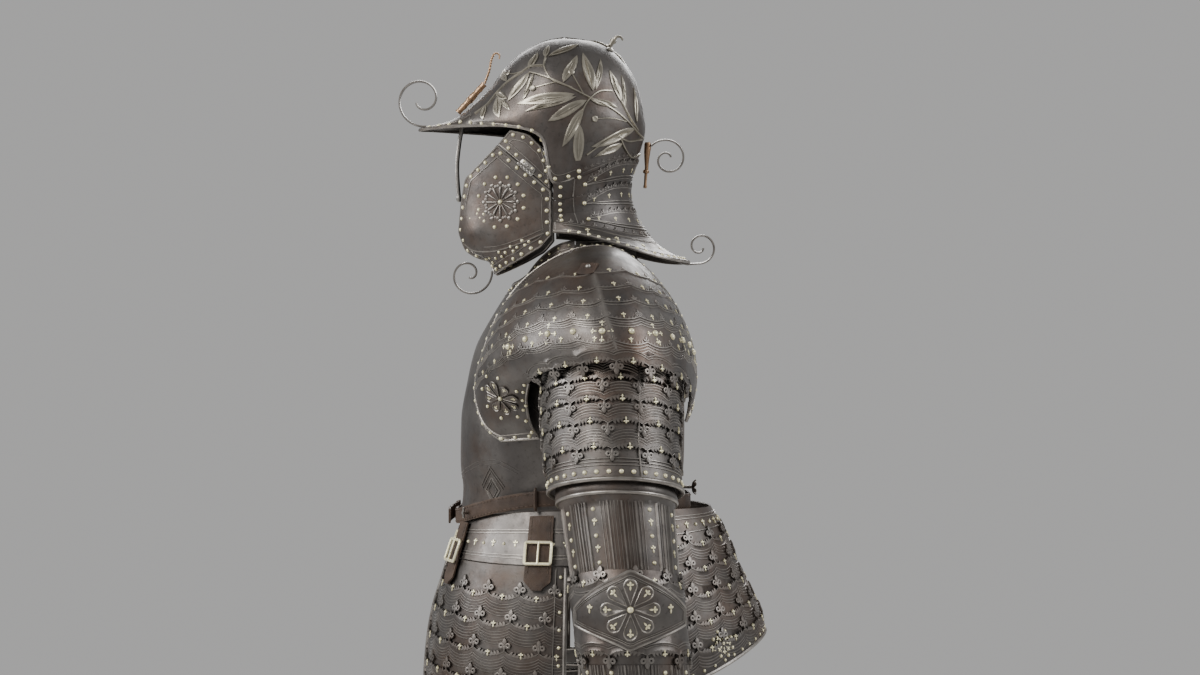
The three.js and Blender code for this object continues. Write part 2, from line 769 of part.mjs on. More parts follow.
function cuirass() {
  const down = 6;
  const half = (name, top, middleTurn) => {
    const rows = grid(down, CUIRASS_TURNS.length - 1, (j, i) => {
      const turn = CUIRASS_TURNS[i];
      const highest = rowAt(top, "turn", Math.abs(turn)).z;
      const lowest = lerp(-336, FAULD_TOP_Z + 2, Math.cos(turn * RAD) ** 2);
      return torsoPoint(turn + middleTurn, lerp(highest, lowest, j / down));
    });
    add(name, plate(rows, { inside: CHEST_CENTRE }), DARK_STEEL);
  };
  half("breastplate", BREAST_TOP, 0);
  half("backplate", BACK_TOP, 180);
}

function belt() {
  const ring = { front: -187, back: 140, half: 144, frontZ: -343, sideZ: -309, backZ: -322 };
  const height = 21;
  const sides = 24;
  const rows = grid(1, sides, (j, i) => {
    const point = ringPoint(ring, ((i % sides) * 360) / sides, TORSO_MIDDLE_Y, TORSO_SQUARE);
    return point.setZ(point.z - j * height);
  });
  const options = { wall: LEATHER, closed: true, inside: vec(0, TORSO_MIDDLE_Y, -335) };
  add("belt", plate(rows, options), BELT_LEATHER);
}

// ---- Skirts --------------------------------------------------------------------------------

const HIP_CENTRE = vec(0, TORSO_MIDDLE_Y, -450);

function skirts() {
  const fauldTurns = (i) => lerp(-89.5, 89.5, i / 14);
  const fauld = grid(2, 14, (j, i) =>
    skirtPoint(fauldTurns(i), lerp(FAULD_TOP_Z, FAULD_BOTTOM_Z + SEAM, j / 2)),
  );
  add("fauld", plate(fauld, { inside: HIP_CENTRE }), DARK_STEEL);

  const levels = Array.from({ length: TASSET_LAMES + 1 }, (_, k) => ({
    level: FAULD_BOTTOM_Z - 1 - k * TASSET_PITCH,
    out: 0,
  }));
  const steps = lameRows(levels, { out: -1 });
  const tasset = grid(steps.length - 1, 7, (j, i) =>
    skirtPoint(lerp(3, 88, i / 7), steps[j].level, steps[j].out),
  );
  addPair("tasset", tasset, DARK_STEEL, { inside: HIP_CENTRE });

  const culet = grid(CULET.length - 1, 12, (j, i) => {
    const ring = { ...CULET[j], front: 0, frontZ: 0 };
    return ringPoint(ring, lerp(91, 269, i / 12), TORSO_MIDDLE_Y, 2);
  });
  add("culet", plate(culet, { inside: HIP_CENTRE }), DARK_STEEL);
}

// The straps and buckles that hold the tassets to the fauld.
function tassetStraps() {
  const straps = table(
    ["turn", "spread", "top", "bottom", "buckle"],
    [77, 5.5, -358, -432, -394],
    [24, 5.5, -362, -440, -398],
  );
  ["side", "front"].forEach((place, k) => {
    const { turn, spread, top, bottom, buckle } = straps[k];
    const strap = grid(5, 2, (j, i) =>
      skirtPoint(turn + (i - 1) * spread, lerp(top, bottom, j / 5), 3 + LEATHER),
    );
    addPair(`tasset_strap_${place}`, strap, BELT_LEATHER, { wall: LEATHER, inside: HIP_CENTRE });

    const centre = skirtPoint(turn, buckle, 5 + LEATHER);
    const up = centre.clone().sub(skirtPoint(turn, buckle - 10, 5 + LEATHER)).normalize();
    const across = skirtPoint(turn + 3, buckle, 5 + LEATHER).sub(centre);
    across.addScaledVector(up, -across.dot(up)).normalize();
    const basis = new THREE.Matrix4().makeBasis(across, up, vec().crossVectors(across, up));
    const frame = buckleFrame(36, 30, 4.5, 3).applyMatrix4(basis.setPosition(centre));
    add(`tasset_buckle_${place}_l`, frame, BRASS);
    add(`tasset_buckle_${place}_r`, frame, BRASS).scale.x = -1;
  });
}

// ---- Arms ----------------------------------------------------------------------------------

function pauldrons() {
  const down = 5;
  const rows = grid(down, PAULDRON.length - 1, (j, i) => {
    const row = PAULDRON[i];
    const angle = (PAULDRON_CURL * j) / down * RAD;
    const [out, over] = [Math.sin(angle), 1 - Math.cos(angle)];
    return vec(lerp(row.rimX, row.armX, out), lerp(row.rimY, row.armY, over), lerp(row.rimZ, row.armZ, over));
  });
  addPair("pauldron", rows, DARK_STEEL, { inside: vec(150, 0, -180) });
}

// A tube round the arm from a table of radii. turns is the arc that it covers.
function armTube(name, rows, turns, across, options = {}) {
  const [from, to] = turns;
  const points = grid(rows.length - 1, across, (j, i) => {
    const { drop, radius } = rows[j];
    return armPoint({ drop, across: radius, along: radius }, lerp(from, to, i / across));
  });
  const middle = armCentre((rows[0].drop + rows.at(-1).drop) / 2);
  addPair(name, points, DARK_STEEL, { ...options, inside: middle });
}

function arms() {
  const wholeTurn = [-90, 270];
  armTube("spaudler", lameRows(SPAUDLER, { radius: 1 }), [-35, 215], 10);
  armTube("upper_cannon", UPPER_CANNON, wholeTurn, 12, { closed: true });
  armTube("elbow_lames", ELBOW, wholeTurn, 12, { closed: true });
  armTube("lower_cannon", LOWER_CANNON, wholeTurn, 12, { closed: true });

  const couter = grid(4, 8, (j, i) => {
    const side = i / 4 - 1;
    const height = lerp(COUTER.halfHeight, COUTER.tipHalfHeight, Math.abs(side));
    const rise = 1 - j / 2;
    const bulge = COUTER.bulge * (1 - side * side) * (1 - 0.6 * rise * rise);
    const radius = COUTER.radius + bulge;
    const section = { drop: ELBOW_DROP, across: radius, along: radius };
    return armPoint(section, 90 + side * COUTER.spread, rise * height);
  });
  addPair("couter", couter, DARK_STEEL, { inside: armCentre(ELBOW_DROP) });

  const gauntlet = grid(GAUNTLET.length - 1, 8, (j, i) =>
    armPoint(GAUNTLET[j], 90 + GAUNTLET[j].wrap * (i / 4 - 1)),
  );
  addPair("gauntlet", gauntlet, DARK_STEEL, { inside: armCentre(560) });
}

// ---- Legs ----------------------------------------------------------------------------------

function legs() {
  const openPlate = (name, rows, wrap, across) => {
    const points = grid(rows.length - 1, across, (j, i) => legPoint(rows[j], wrap * ((2 * i) / across - 1)));
    const middle = rows[Math.floor(rows.length / 2)];
    addPair(name, points, DARK_STEEL, { inside: vec(middle.x, middle.y, middle.z) });
  };
  openPlate("cuisse", CUISSE, CUISSE_WRAP, 8);
  openPlate("poleyn", POLEYN, POLEYN_WRAP, 6);

  const greave = grid(GREAVE.length - 1, 10, (j, i) => legPoint(GREAVE[j], i * 36));
  addPair("greave", greave, DARK_STEEL, { closed: true, inside: vec(FOOT_X, 10, -1220) });

  const sabaton = grid(SABATON.length - 1, 6, (j, i) => {
    const { y, half, height } = SABATON[j];
    const angle = i * 30 * RAD;
    return vec(FOOT_X + half * Math.cos(angle), y, FLOOR_Z + height * Math.sin(angle));
  });
  addPair("sabaton", sabaton, DARK_STEEL, { inside: vec(FOOT_X, -130, FLOOR_Z) });
}

skull();
neckGuard();
cheeks();
cheekHinges();
nasal();
helmetFittings();
gorget();
cuirass();
belt();
skirts();
tassetStraps();
pauldrons();
arms();
legs();

export default group;
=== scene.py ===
import math

import bpy
import numpy as np
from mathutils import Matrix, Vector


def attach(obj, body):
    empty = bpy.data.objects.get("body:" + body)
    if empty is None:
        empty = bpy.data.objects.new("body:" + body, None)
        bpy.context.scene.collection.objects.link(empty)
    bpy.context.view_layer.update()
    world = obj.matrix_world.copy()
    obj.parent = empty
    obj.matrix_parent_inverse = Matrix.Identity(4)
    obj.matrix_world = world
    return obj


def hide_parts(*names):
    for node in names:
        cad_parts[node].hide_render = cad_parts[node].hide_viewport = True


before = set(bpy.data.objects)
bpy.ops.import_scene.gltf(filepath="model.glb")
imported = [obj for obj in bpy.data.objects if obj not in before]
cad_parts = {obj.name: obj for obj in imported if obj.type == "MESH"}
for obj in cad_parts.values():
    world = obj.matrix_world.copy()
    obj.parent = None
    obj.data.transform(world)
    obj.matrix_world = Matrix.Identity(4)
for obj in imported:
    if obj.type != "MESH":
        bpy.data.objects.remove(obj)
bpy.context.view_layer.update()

# All shapes are worked out in millimetres and made in metres. The wearer faces -Y.

MM = 0.001
RAD = math.pi / 180
PLATE = 1.6
LEATHER = 3.0
UP = np.array([0.0, 0.0, 1.0])

# ---- Camera, lights and floor ---------------------------------------------------------------

FLOOR_Z, FLOOR_RADIUS, FLOOR_SIDES = -1.4804, 4.2, 64
CAMERA_AT = (3.0, 0.014, -0.1057)
CAMERA_LENS, SENSOR_WIDTH = 64.3, 36


def make_camera():
    data = bpy.data.cameras.new("camera")
    data.lens, data.sensor_width = CAMERA_LENS, SENSOR_WIDTH
    camera = bpy.data.objects.new("camera", data)
    camera.location = CAMERA_AT
    camera.rotation_euler = (math.pi / 2, 0, math.pi / 2)
    bpy.context.scene.collection.objects.link(camera)
    bpy.context.scene.camera = camera


def area_light(name, place, size, power, colour=(1, 1, 1)):
    data = bpy.data.lights.new(name, "AREA")
    data.shape, data.size, data.energy, data.color = "DISK", size, power, colour
    light = bpy.data.objects.new(name, data)
    light.location = place
    aim = Vector((0, 0, -0.3)) - Vector(place)
    light.rotation_euler = aim.to_track_quat("-Z", "Y").to_euler()
    bpy.context.scene.collection.objects.link(light)


def make_studio():
    world = bpy.data.worlds.new("studio")
    world.use_nodes = True
    world.node_tree.nodes["Background"].inputs[0].default_value = (0.68, 0.675, 0.67, 1)
    world.node_tree.nodes["Background"].inputs[1].default_value = 0.62
    bpy.context.scene.world = world
    area_light("key", (2.6, -2.4, 2.2), 2.0, 105, (1, 0.98, 0.95))
    area_light("front", (0.4, -3.2, 1.0), 1.6, 55, (0.97, 0.98, 1))
    area_light("back", (0.8, 3.0, 1.6), 2.0, 60, (0.97, 0.98, 1))
    area_light("other", (-3.0, 0.2, 1.6), 2.4, 110)
    mesh = bpy.data.meshes.new("floor")
    turns = [2 * math.pi * k / FLOOR_SIDES for k in range(FLOOR_SIDES)]
    edge = [(FLOOR_RADIUS * math.cos(a), FLOOR_RADIUS * math.sin(a), FLOOR_Z) for a in turns]
    mesh.from_pydata(edge, [], [list(range(FLOOR_SIDES))])
    floor = bpy.data.objects.new("floor", mesh)
    bpy.context.scene.collection.objects.link(floor)
    mesh.materials.append(floor_material())


# ---- Materials ------------------------------------------------------------------------------


class Nodes:
    """Short calls for making a material's nodes."""

    def __init__(self, name):
        self.material = bpy.data.materials.new(name)
        self.material.use_nodes = True
        self.tree = self.material.node_tree
        self.shader = self.tree.nodes["Principled BSDF"]
        self.coords = self.add("ShaderNodeTexCoord").outputs["Object"]

    def add(self, kind, **settings):
        node = self.tree.nodes.new(kind)
        for key, value in settings.items():
            setattr(node, key, value)
        return node

    def link(self, source, target):
        self.tree.links.new(source, target)

    def noise(self, scale, detail=4.0, rough=0.55, stretch=None):
        node = self.add("ShaderNodeTexNoise")
        node.inputs["Scale"].default_value = scale
        node.inputs["Detail"].default_value = detail
        node.inputs["Roughness"].default_value = rough
        source = self.coords
        if stretch:
            mapping = self.add("ShaderNodeMapping")
            mapping.inputs["Scale"].default_value = stretch
            self.link(source, mapping.inputs["Vector"])
            source = mapping.outputs["Vector"]
        self.link(source, node.inputs["Vector"])
        return node.outputs["Fac"]

    def span(self, source, from_low, from_high, low=0.0, high=1.0):
        node = self.add("ShaderNodeMapRange")
        for key, value in zip(
            ("From Min", "From Max", "To Min", "To Max"), (from_low, from_high, low, high)
        ):
            node.inputs[key].default_value = value
        self.link(source, node.inputs["Value"])
        return node.outputs["Result"]

    def mix(self, fac, a, b):
        node = self.add("ShaderNodeMix", data_type="RGBA")
        self.link(fac, node.inputs["Factor"])
        for source, socket in ((a, node.inputs[6]), (b, node.inputs[7])):
            if isinstance(source, tuple):
                socket.default_value = (*source, 1)
            else:
                self.link(source, socket)
        return node.outputs[2]

    def math(self, operation, a, b):
        node = self.add("ShaderNodeMath", operation=operation)
        for source, socket in ((a, node.inputs[0]), (b, node.inputs[1])):
            if isinstance(source, (int, float)):
                socket.default_value = source
            else:
                self.link(source, socket)
        return node.outputs[0]

    def attribute(self, name):
        return self.add("ShaderNodeAttribute", attribute_name=name).outputs["Fac"]

    def bump(self, height, strength, distance):
        node = self.add("ShaderNodeBump")
        node.inputs["Strength"].default_value = strength
        node.inputs["Distance"].default_value = distance
        self.link(height, node.inputs["Height"])
        self.link(node.outputs["Normal"], self.shader.inputs["Normal"])

    def finish(self, colour, roughness, metallic):
        self.link(colour, self.shader.inputs["Base Color"])
        if isinstance(roughness, (int, float)):
            self.shader.inputs["Roughness"].default_value = roughness
        else:
            self.link(roughness, self.shader.inputs["Roughness"])
        self.shader.inputs["Metallic"].default_value = metallic
        return self.material


def metal(name, dark, light, patina, patina_share, bright, rough, metallic=1.0):
    """Aged metal: two tones, stains of patina, and ridges and edges made bright by rubbed wear and
    painted highlight.
    """
    n = Nodes(name)
    tone = n.mix(n.span(n.noise(14, 5), 0.35, 0.65), dark, light)
    stain = n.span(n.noise(5.5, 6, 0.65), 0.66 - patina_share, 0.92 - patina_share)
    streaks = n.span(n.noise(9, 4, 0.6, (1, 1, 0.35)), 0.55, 0.75, 0, 0.55)
    stained = n.mix(n.math("MAXIMUM", stain, streaks), tone, patina)
    speck = n.span(n.noise(160, 3, 0.7), 0.56, 0.72, 0, 0.5)
    specked = n.mix(speck, stained, tuple(c * 0.45 for c in dark))
    # The attribute marks rubbed wear and painted highlight on raised ridges and edges; those places
    # take the bright colour.
    worn = n.math("MULTIPLY", n.attribute("worn"), n.span(n.noise(60, 4), 0.3, 0.62, 0.35, 1))
    colour = n.mix(worn, specked, bright)
    roughness = n.math(
        "SUBTRACT", n.span(n.noise(38, 5, 0.7), 0.3, 0.7, rough - 0.09, rough + 0.13),
        n.math("MULTIPLY", worn, 0.1),
    )
    grain = n.math("MULTIPLY", n.noise(420, 3, 0.6), 0.35)
    n.bump(n.math("ADD", n.noise(48, 4, 0.5), grain), 0.32, 0.0011)
    return n.finish(colour, roughness, metallic)


def leather_material():
    n = Nodes("belt_leather")
    tone = n.mix(n.span(n.noise(30, 5), 0.35, 0.65), (0.021, 0.012, 0.008), (0.058, 0.034, 0.021))
    # The attribute makes the leather lighter brown: wear at the edges, and painted highlight on
    # raised tops.
    worn = n.math("MULTIPLY", n.attribute("worn"), n.span(n.noise(90, 4), 0.35, 0.6, 0.2, 1))
    colour = n.mix(worn, tone, (0.118, 0.076, 0.05))
    grain = n.add("ShaderNodeTexVoronoi")
    grain.inputs["Scale"].default_value = 900
    n.link(n.coords, grain.inputs["Vector"])
    height = n.math("ADD", grain.outputs["Distance"], n.math("MULTIPLY", n.noise(120, 4), 0.8))
    n.bump(height, 0.45, 0.0008)
    return n.finish(colour, n.span(n.noise(70, 3), 0.3, 0.7, 0.55, 0.78), 0.0)


def floor_material():
    n = Nodes("floor")
    colour = n.mix(n.span(n.noise(3, 3), 0.3, 0.7), (0.62, 0.61, 0.59), (0.68, 0.67, 0.65))
    return n.finish(colour, 0.7, 0.0)


# ---- Numbers --------------------------------------------------------------------------------


def eased(x, xs, ys):
    """Smooth interpolation through the given values that never overshoots them."""
    xs, ys = np.asarray(xs, float), np.asarray(ys, float)
    if xs[0] > xs[-1]:
        xs, ys = xs[::-1], ys[::-1]
    gaps = np.diff(xs)
    slopes = np.diff(ys) / gaps
    m = np.zeros(len(xs))
    m[0], m[-1] = slopes[0], slopes[-1]
    if len(xs) > 2:
        a, b = slopes[:-1], slopes[1:]
        together = a * b > 0
        w1, w2 = 2 * gaps[1:] + gaps[:-1], gaps[1:] + 2 * gaps[:-1]
        safe_a, safe_b = np.where(together, a, 1), np.where(together, b, 1)
        m[1:-1] = np.where(together, (w1 + w2) / (w1 / safe_a + w2 / safe_b), 0)
    k = np.clip(np.searchsorted(xs, x) - 1, 0, len(xs) - 2)
    t = np.clip((x - xs[k]) / gaps[k], 0, 1)
    t2, t3 = t * t, t * t * t
    return (
        ys[k] * (2 * t3 - 3 * t2 + 1) + m[k] * gaps[k] * (t3 - 2 * t2 + t)
        + ys[k + 1] * (3 * t2 - 2 * t3) + m[k + 1] * gaps[k] * (t3 - t2)
    )


def bell(x, width):
    """A smooth bump of height 1 round 0."""
    return np.exp(-((x / width) ** 2))


def columns_at(table, x):
    """The row of a table at values of its first column."""
    xs = [row[0] for row in table]
    return [eased(x, xs, [row[c] for row in table]) for c in range(1, len(table[0]))]


def along_chain(corners, t):
    """Points on straight lines between corners, at shares t of the whole length."""
    corners = np.array(corners, float)
    lengths = np.r_[0, np.cumsum(np.linalg.norm(np.diff(corners, axis=0), axis=1))]
    s = t * lengths[-1]
    return np.stack([np.interp(s, lengths, corners[:, k]) for k in (0, 1)], -1)


def signed_power(value, power):
    return np.sign(value) * np.abs(value) ** power


def smooth(t):
    t = np.clip(t, 0, 1)
    return t * t * (3 - 2 * t)


def mixed(a, b, t):
    return a + (b - a) * t


def cubic(t):
    t2, t3 = t * t, t * t * t
    return (
        (-t3 + 2 * t2 - t) / 2, (3 * t3 - 5 * t2 + 2) / 2,
        (-3 * t3 + 4 * t2 + t) / 2, (t3 - t2) / 2,
    )


def curve(corners, count):
    """Points of a smooth line through the corners."""
    corners = np.array(corners, float)
    first, last = 2 * corners[:1] - corners[1:2], 2 * corners[-1:] - corners[-2:-1]
    pad = np.concatenate([first, corners, last])
    t = np.linspace(0, len(corners) - 1, count)
    i = np.clip(t.astype(int), 0, len(corners) - 2)
    w = cubic(t - i)
    return sum(w[a][:, None] * pad[i + a] for a in range(4))


def norm(v):
    return np.linalg.norm(v, axis=-1, keepdims=True)


def dot(a, b):
    return (a * b).sum(-1)


# ---- Surfaces and meshes --------------------------------------------------------------------


class Skin:
    """A smooth surface through a grid of points. u counts its columns and v its rows."""

    def __init__(self, rows, inside, closed=False):
        self.grid = np.array(rows, float)
        self.closed = closed
        self.tall, self.wide = self.grid.shape[0] - 1, self.grid.shape[1] - 1
        g = self.grid
        left, right = 2 * g[:, :1] - g[:, 1:2], 2 * g[:, -1:] - g[:, -2:-1]
        if closed:
            left, right = g[:, -2:-1], g[:, 1:2]
        g = np.concatenate([left, g, right], axis=1)
        self.pad = np.concatenate([2 * g[:1] - g[1:2], g, 2 * g[-1:] - g[-2:-1]], axis=0)
        self.sign = 1.0
        spots = [np.linspace(0.3, size - 0.3, 9) for size in (self.wide, self.tall)]
        p, _, _, n = self.frame(*np.meshgrid(*spots))
        self.sign = float(np.sign(dot(n, p - np.array(inside, float)).sum()))

    def at(self, u, v):
        """The points at (u, v), on straight lines beyond the edges."""
        u, v = np.broadcast_arrays(np.asarray(u, float), np.asarray(v, float))
        if self.closed:
            u = u % self.wide
        near_u, near_v = np.clip(u, 0, self.wide), np.clip(v, 0, self.tall)
        p = self.inner(near_u, near_v)
        step = 0.05
        for over, du, dv in ((u - near_u, step, 0), (v - near_v, 0, step)):
            if np.any(over):
                way = np.where(over > 0, -1.0, 1.0)
                q = self.inner(near_u + du * way, near_v + dv * way)
                p = p + (p - q) * (np.abs(over) / step)[..., None]
        return p

    def inner(self, u, v):
        """The points at (u, v) within the edges."""
        iu = np.clip(np.floor(u).astype(int), 0, self.wide - 1)
        iv = np.clip(np.floor(v).astype(int), 0, self.tall - 1)
        wu, wv = cubic(u - iu), cubic(v - iv)
        total = 0
        for a in range(4):
            row = 0
            for b in range(4):
                row = row + wu[b][..., None] * self.pad[iv + a, iu + b]
            total = total + wv[a][..., None] * row
        return total

    def frame(self, u, v):
        """The points at (u, v), their steps for one column and one row, and the outward normal."""
        e = 0.02
        u, v = np.broadcast_arrays(np.asarray(u, float), np.asarray(v, float))
        su = (self.at(u + e, v) - self.at(u - e, v)) / (2 * e)
        sv = (self.at(u, v + e) - self.at(u, v - e)) / (2 * e)
        n = np.cross(su, sv)
        n = n / np.maximum(norm(n), 1e-9) * self.sign
        return self.at(u, v), su, sv, n

    def offset(self, u, v, dx, dy, steps=1):
        """The parameters of points dx to the right of and dy above (u, v), seen from outside."""
        for _ in range(steps):
            _, su, sv, n = self.frame(u, v)
            y = UP - dot(n, UP + 0 * n)[..., None] * n
            y = y / np.maximum(norm(y), 1e-6)
            x = np.cross(y, n)
            move = (
                x * np.asarray(dx, float)[..., None] + y * np.asarray(dy, float)[..., None]
            ) / steps
            a, b, c = dot(su, su), dot(su, sv), dot(sv, sv)
            p, q = dot(move, su), dot(move, sv)
            det = np.maximum(a * c - b * b, 1e-6)
            u, v = u + (p * c - q * b) / det, v + (q * a - p * b) / det
        return u, v

    def per_row(self, u, v):
        """How many millimetres one row is at (u, v)."""
        return norm(self.frame(u, v)[2])[..., 0]

    def find(self, y, z):
        """The parameters of the points at (y, z) on the side that faces +X."""
        y, z = np.atleast_1d(np.asarray(y, float)), np.atleast_1d(np.asarray(z, float))
        if not hasattr(self, "dense"):
            spots = np.linspace(0, self.wide, 160), np.linspace(0, self.tall, 110)
            u, v = np.meshgrid(*spots)
            p, _, _, n = self.frame(u, v)
            seen = (n[..., 0] > 0.02) & (p[..., 0] > 1)
            self.dense = (u[seen], v[seen], p[seen])
        u, v, p = self.dense
        far = (p[None, :, 1] - y[:, None]) ** 2 + (p[None, :, 2] - z[:, None]) ** 2
        best = far.argmin(1)
        u, v = u[best], v[best]
        for _ in range(4):
            p, su, sv, _ = self.frame(u, v)
            ry, rz = y - p[..., 1], z - p[..., 2]
            det = su[..., 1] * sv[..., 2] - su[..., 2] * sv[..., 1]
            det = np.where(np.abs(det) < 20, np.where(det < 0, -20.0, 20.0), det)
            du = (ry * sv[..., 2] - rz * sv[..., 1]) / det
            dv = (rz * su[..., 1] - ry * su[..., 2]) / det
            u = np.clip(u + np.clip(du, -0.3, 0.3), 0, self.wide)
            v = np.clip(v + np.clip(dv, -0.3, 0.3), 0, self.tall)
        return u, v


class Bag:
    """Points and faces that grow into one mesh, with how much wear and painted highlight each point
    has.
    """

    def __init__(self):
        self.points, self.worn, self.faces, self.count = [], [], [], 0

    def add(self, points, faces, worn=0.0):
        points = np.asarray(points, float).reshape(-1, 3)
        self.points.append(points)
        self.worn.append(np.broadcast_to(np.asarray(worn, float), (len(points),)).copy())
        for group in faces:
            self.faces.append(np.asarray(group, int) + self.count)
        self.count += len(points)

    def mirrored(self):
        other = Bag()
        other.points = [p * np.array([-1, 1, 1]) for p in self.points]
        other.worn = list(self.worn)
        other.faces = [f[:, ::-1] for f in self.faces]
        other.count = self.count
        return other


def tube_faces(count, k):
    """Faces along count rings of k points, closed at both ends."""
    ends = np.arange(k)[None]
    return [grid_faces(count, k, True), ends[:, ::-1], (count - 1) * k + ends]


def grid_faces(rows, columns, closed=False, flip=False):
    """Quads of a grid of points. closed joins the last column to the first."""
    j = np.arange(rows - 1)[:, None] * columns
    i = np.arange(columns if closed else columns - 1)[None]
    k = (i + 1) % columns
    quads = np.stack([j + i, j + k, j + columns + k, j + columns + i], -1).reshape(-1, 4)
    return quads[:, ::-1] if flip else quads


def shell(bag, skin, us, vs, relief=0.0, wall=PLATE, worn=0.0, closed=False):
    """A plate of a surface between rows and columns of parameters, raised by the relief. Its
    plain inner side has fewer faces."""
    u, v = (np.meshgrid if np.ndim(us) == 1 else np.broadcast_arrays)(us, vs)
    p, _, _, n = skin.frame(u, v)
    rows, columns = u.shape
    relief = relief * np.ones(u.shape)
    outer = p + n * relief[..., None]
    a = outer[:-1, 1:] - outer[:-1, :-1]
    b = outer[1:, :-1] - outer[:-1, :-1]
    flip = bool(dot(np.cross(a, b), n[:-1, :-1]).sum() < 0)
    far_rows = sorted({*range(0, rows, 4), rows - 1})
    far_columns = sorted({*range(0, columns, 3)} | (set() if closed else {columns - 1}))
    few = np.ix_(far_rows, far_columns)
    inner = p[few] + n[few] * (np.minimum(relief[few], 0) - wall)[..., None]
    count, across = rows * columns, len(far_columns)
    faces = [
        grid_faces(rows, columns, closed, flip),
        grid_faces(len(far_rows), across, closed, not flip) + count,
    ]

    def border(near, far, turned):
        """Faces that join a line of outer points to a line of fewer inner points."""
        for (first, low), (last, high) in zip(far, far[1:]):
            loop = [*near[first:last + 1], high + count, low + count]
            faces.append(np.array([loop[::-1] if turned != flip else loop]))

    spots = list(enumerate(far_columns))
    if closed:
        spots.append((0, columns))
    for row, far_row, turned in ((0, 0, True), (rows - 1, len(far_rows) - 1, False)):
        near = [row * columns + k % columns for k in range(columns + 1)]
        border(near, [(k, far_row * across + i) for i, k in spots], turned)
    if not closed:
        for column, far_column, turned in ((0, 0, False), (columns - 1, across - 1, True)):
            near = [k * columns + column for k in range(rows)]
            border(near, [(k, i * across + far_column) for i, k in enumerate(far_rows)], turned)
    worn = worn * np.ones(u.shape)
    bag.add(np.concatenate([outer.reshape(-1, 3), inner.reshape(-1, 3)]), faces,
            np.concatenate([worn.ravel(), np.zeros(inner.shape[0] * inner.shape[1])]))


def tube(bag, path, radius, sides=8, closed=False, worn=0.5, squash=1.0):
    """A round bar along a path, with its ends closed. The radius may vary along it, and squash
    makes its section oval."""
    path = np.asarray(path, float)
    count = len(path)
    radius = radius * np.ones(count)
    if closed:
        tangent = np.roll(path, -1, 0) - np.roll(path, 1, 0)
    else:
        tangent = np.gradient(path, axis=0)
    tangent = tangent / np.maximum(norm(tangent), 1e-9)
    side = np.cross(tangent[0], UP if abs(tangent[0][2]) < 0.9 else np.array([1.0, 0, 0]))
    frames = []
    for t in tangent:
        side = side - t * (side @ t)
        side = side / np.linalg.norm(side)
        frames.append((side, np.cross(t, side)))
    turns = np.arange(sides) * 2 * math.pi / sides
    rings = []
    for p, r, (a, b) in zip(path, radius, frames):
        rings.append(p + r * (np.cos(turns)[:, None] * a + squash * np.sin(turns)[:, None] * b))
    quads = grid_faces(count, sides, True, True)
    if closed:
        last = (count - 1) * sides + np.arange(sides)
        first = np.arange(sides)
        wrap = np.roll(np.arange(sides), -1)
        quads = np.concatenate([quads, np.stack([last, first, first[wrap], last[wrap]], -1)])
        faces = [quads]
    else:
        ring_of = np.arange(sides)[None]
        faces = [quads, ring_of, (count - 1) * sides + ring_of[:, ::-1]]
    bag.add(np.concatenate(rings), faces, worn)


def ridge(bag, skin, us, vs, width=1.3, height=0.9, lift=0.0, worn=0.8, closed=False):
    """A raised line that follows a path of parameters on a surface."""
    us, vs = np.broadcast_arrays(np.asarray(us, float), np.asarray(vs, float))
    p, _, _, n = skin.frame(us, vs)
    if closed:
        tangent = np.roll(p, -1, 0) - np.roll(p, 1, 0)
    else:
        tangent = np.gradient(p, axis=0)
    across = np.cross(n, tangent)
    across = across / np.maximum(norm(across), 1e-9)
    section = [(-1, -0.5), (-0.42, 0.92), (0.42, 0.92), (1, -0.5)]
    rings = [p + across * (x * width) + n * (lift + h * height) for x, h in section]
    points = np.stack(rings, 1).reshape(-1, 3)
    count, k = len(us), len(section)
    faces = tube_faces(count, k)
    if closed:
        last, first = (count - 1) * k + np.arange(k), np.arange(k)
        wrap = np.roll(first, -1)
        faces = [np.concatenate([faces[0], np.stack([last, last[wrap], first[wrap], first], -1)])]
    # The top of the line is brighter than its foot: wear with painted highlight.
    shade = np.tile(np.array([0.1, 1, 1, 0.1]) * worn, count)
    bag.add(points, faces, shade)


def mound(outline, steps, top):
    """A raised form on an outline: (share of the outline, height) rings and a top point."""
    outline = np.array(outline, float)
    centre = outline.mean(0)
    k = len(outline)
    rings = [np.c_[centre + (outline - centre) * share, np.full(k, h)] for share, h in steps]
    points = np.concatenate([*rings, [[*centre, top]]])
    quads = grid_faces(len(rings), k, True)
    last = (len(rings) - 1) * k + np.arange(k)
    fan = np.stack([last, np.roll(last, -1), np.full(k, len(points) - 1)], -1)
    # Brighter towards the top of the form: wear with painted highlight, set by height.
    shade = np.clip(points[:, 2] / points[:, 2].max(), 0, 1) ** 1.5
    return points, [quads, fan, np.arange(k)[None, ::-1]], shade


def annulus(centre, outer, inner, base, top):
    """A raised ring round a hole."""
    sides = 8
    turns = np.arange(sides) * 2 * math.pi / sides
    middle = mixed(outer, inner, 0.5)
    rings = [(outer, base), (outer, top * 0.7), (middle, top), (inner, top * 0.6), (inner, base)]
    points = np.concatenate([
        np.c_[centre[0] + r * np.cos(turns), centre[1] + r * np.sin(turns), np.full(sides, h)]
        for r, h in rings
    ])
    quads = grid_faces(len(rings), sides, True)
    last, first = (len(rings) - 1) * sides + np.arange(sides), np.arange(sides)
    wrap = np.roll(first, -1)
    quads = np.concatenate([quads, np.stack([last, last[wrap], first[wrap], first], -1)])
    # The ring's top is brighter than its foot: wear with painted highlight, set by height.
    return points, [quads], np.clip(points[:, 2] / top, 0, 1)


def merged(*parts):
    """Several templates as one."""
    points, faces, shade, count = [], [], [], 0
    for p, groups, s in parts:
        points.append(p)
        shade.append(s)
        faces += [np.asarray(g) + count for g in groups]
        count += len(p)
    return np.concatenate(points), faces, np.concatenate(shade)


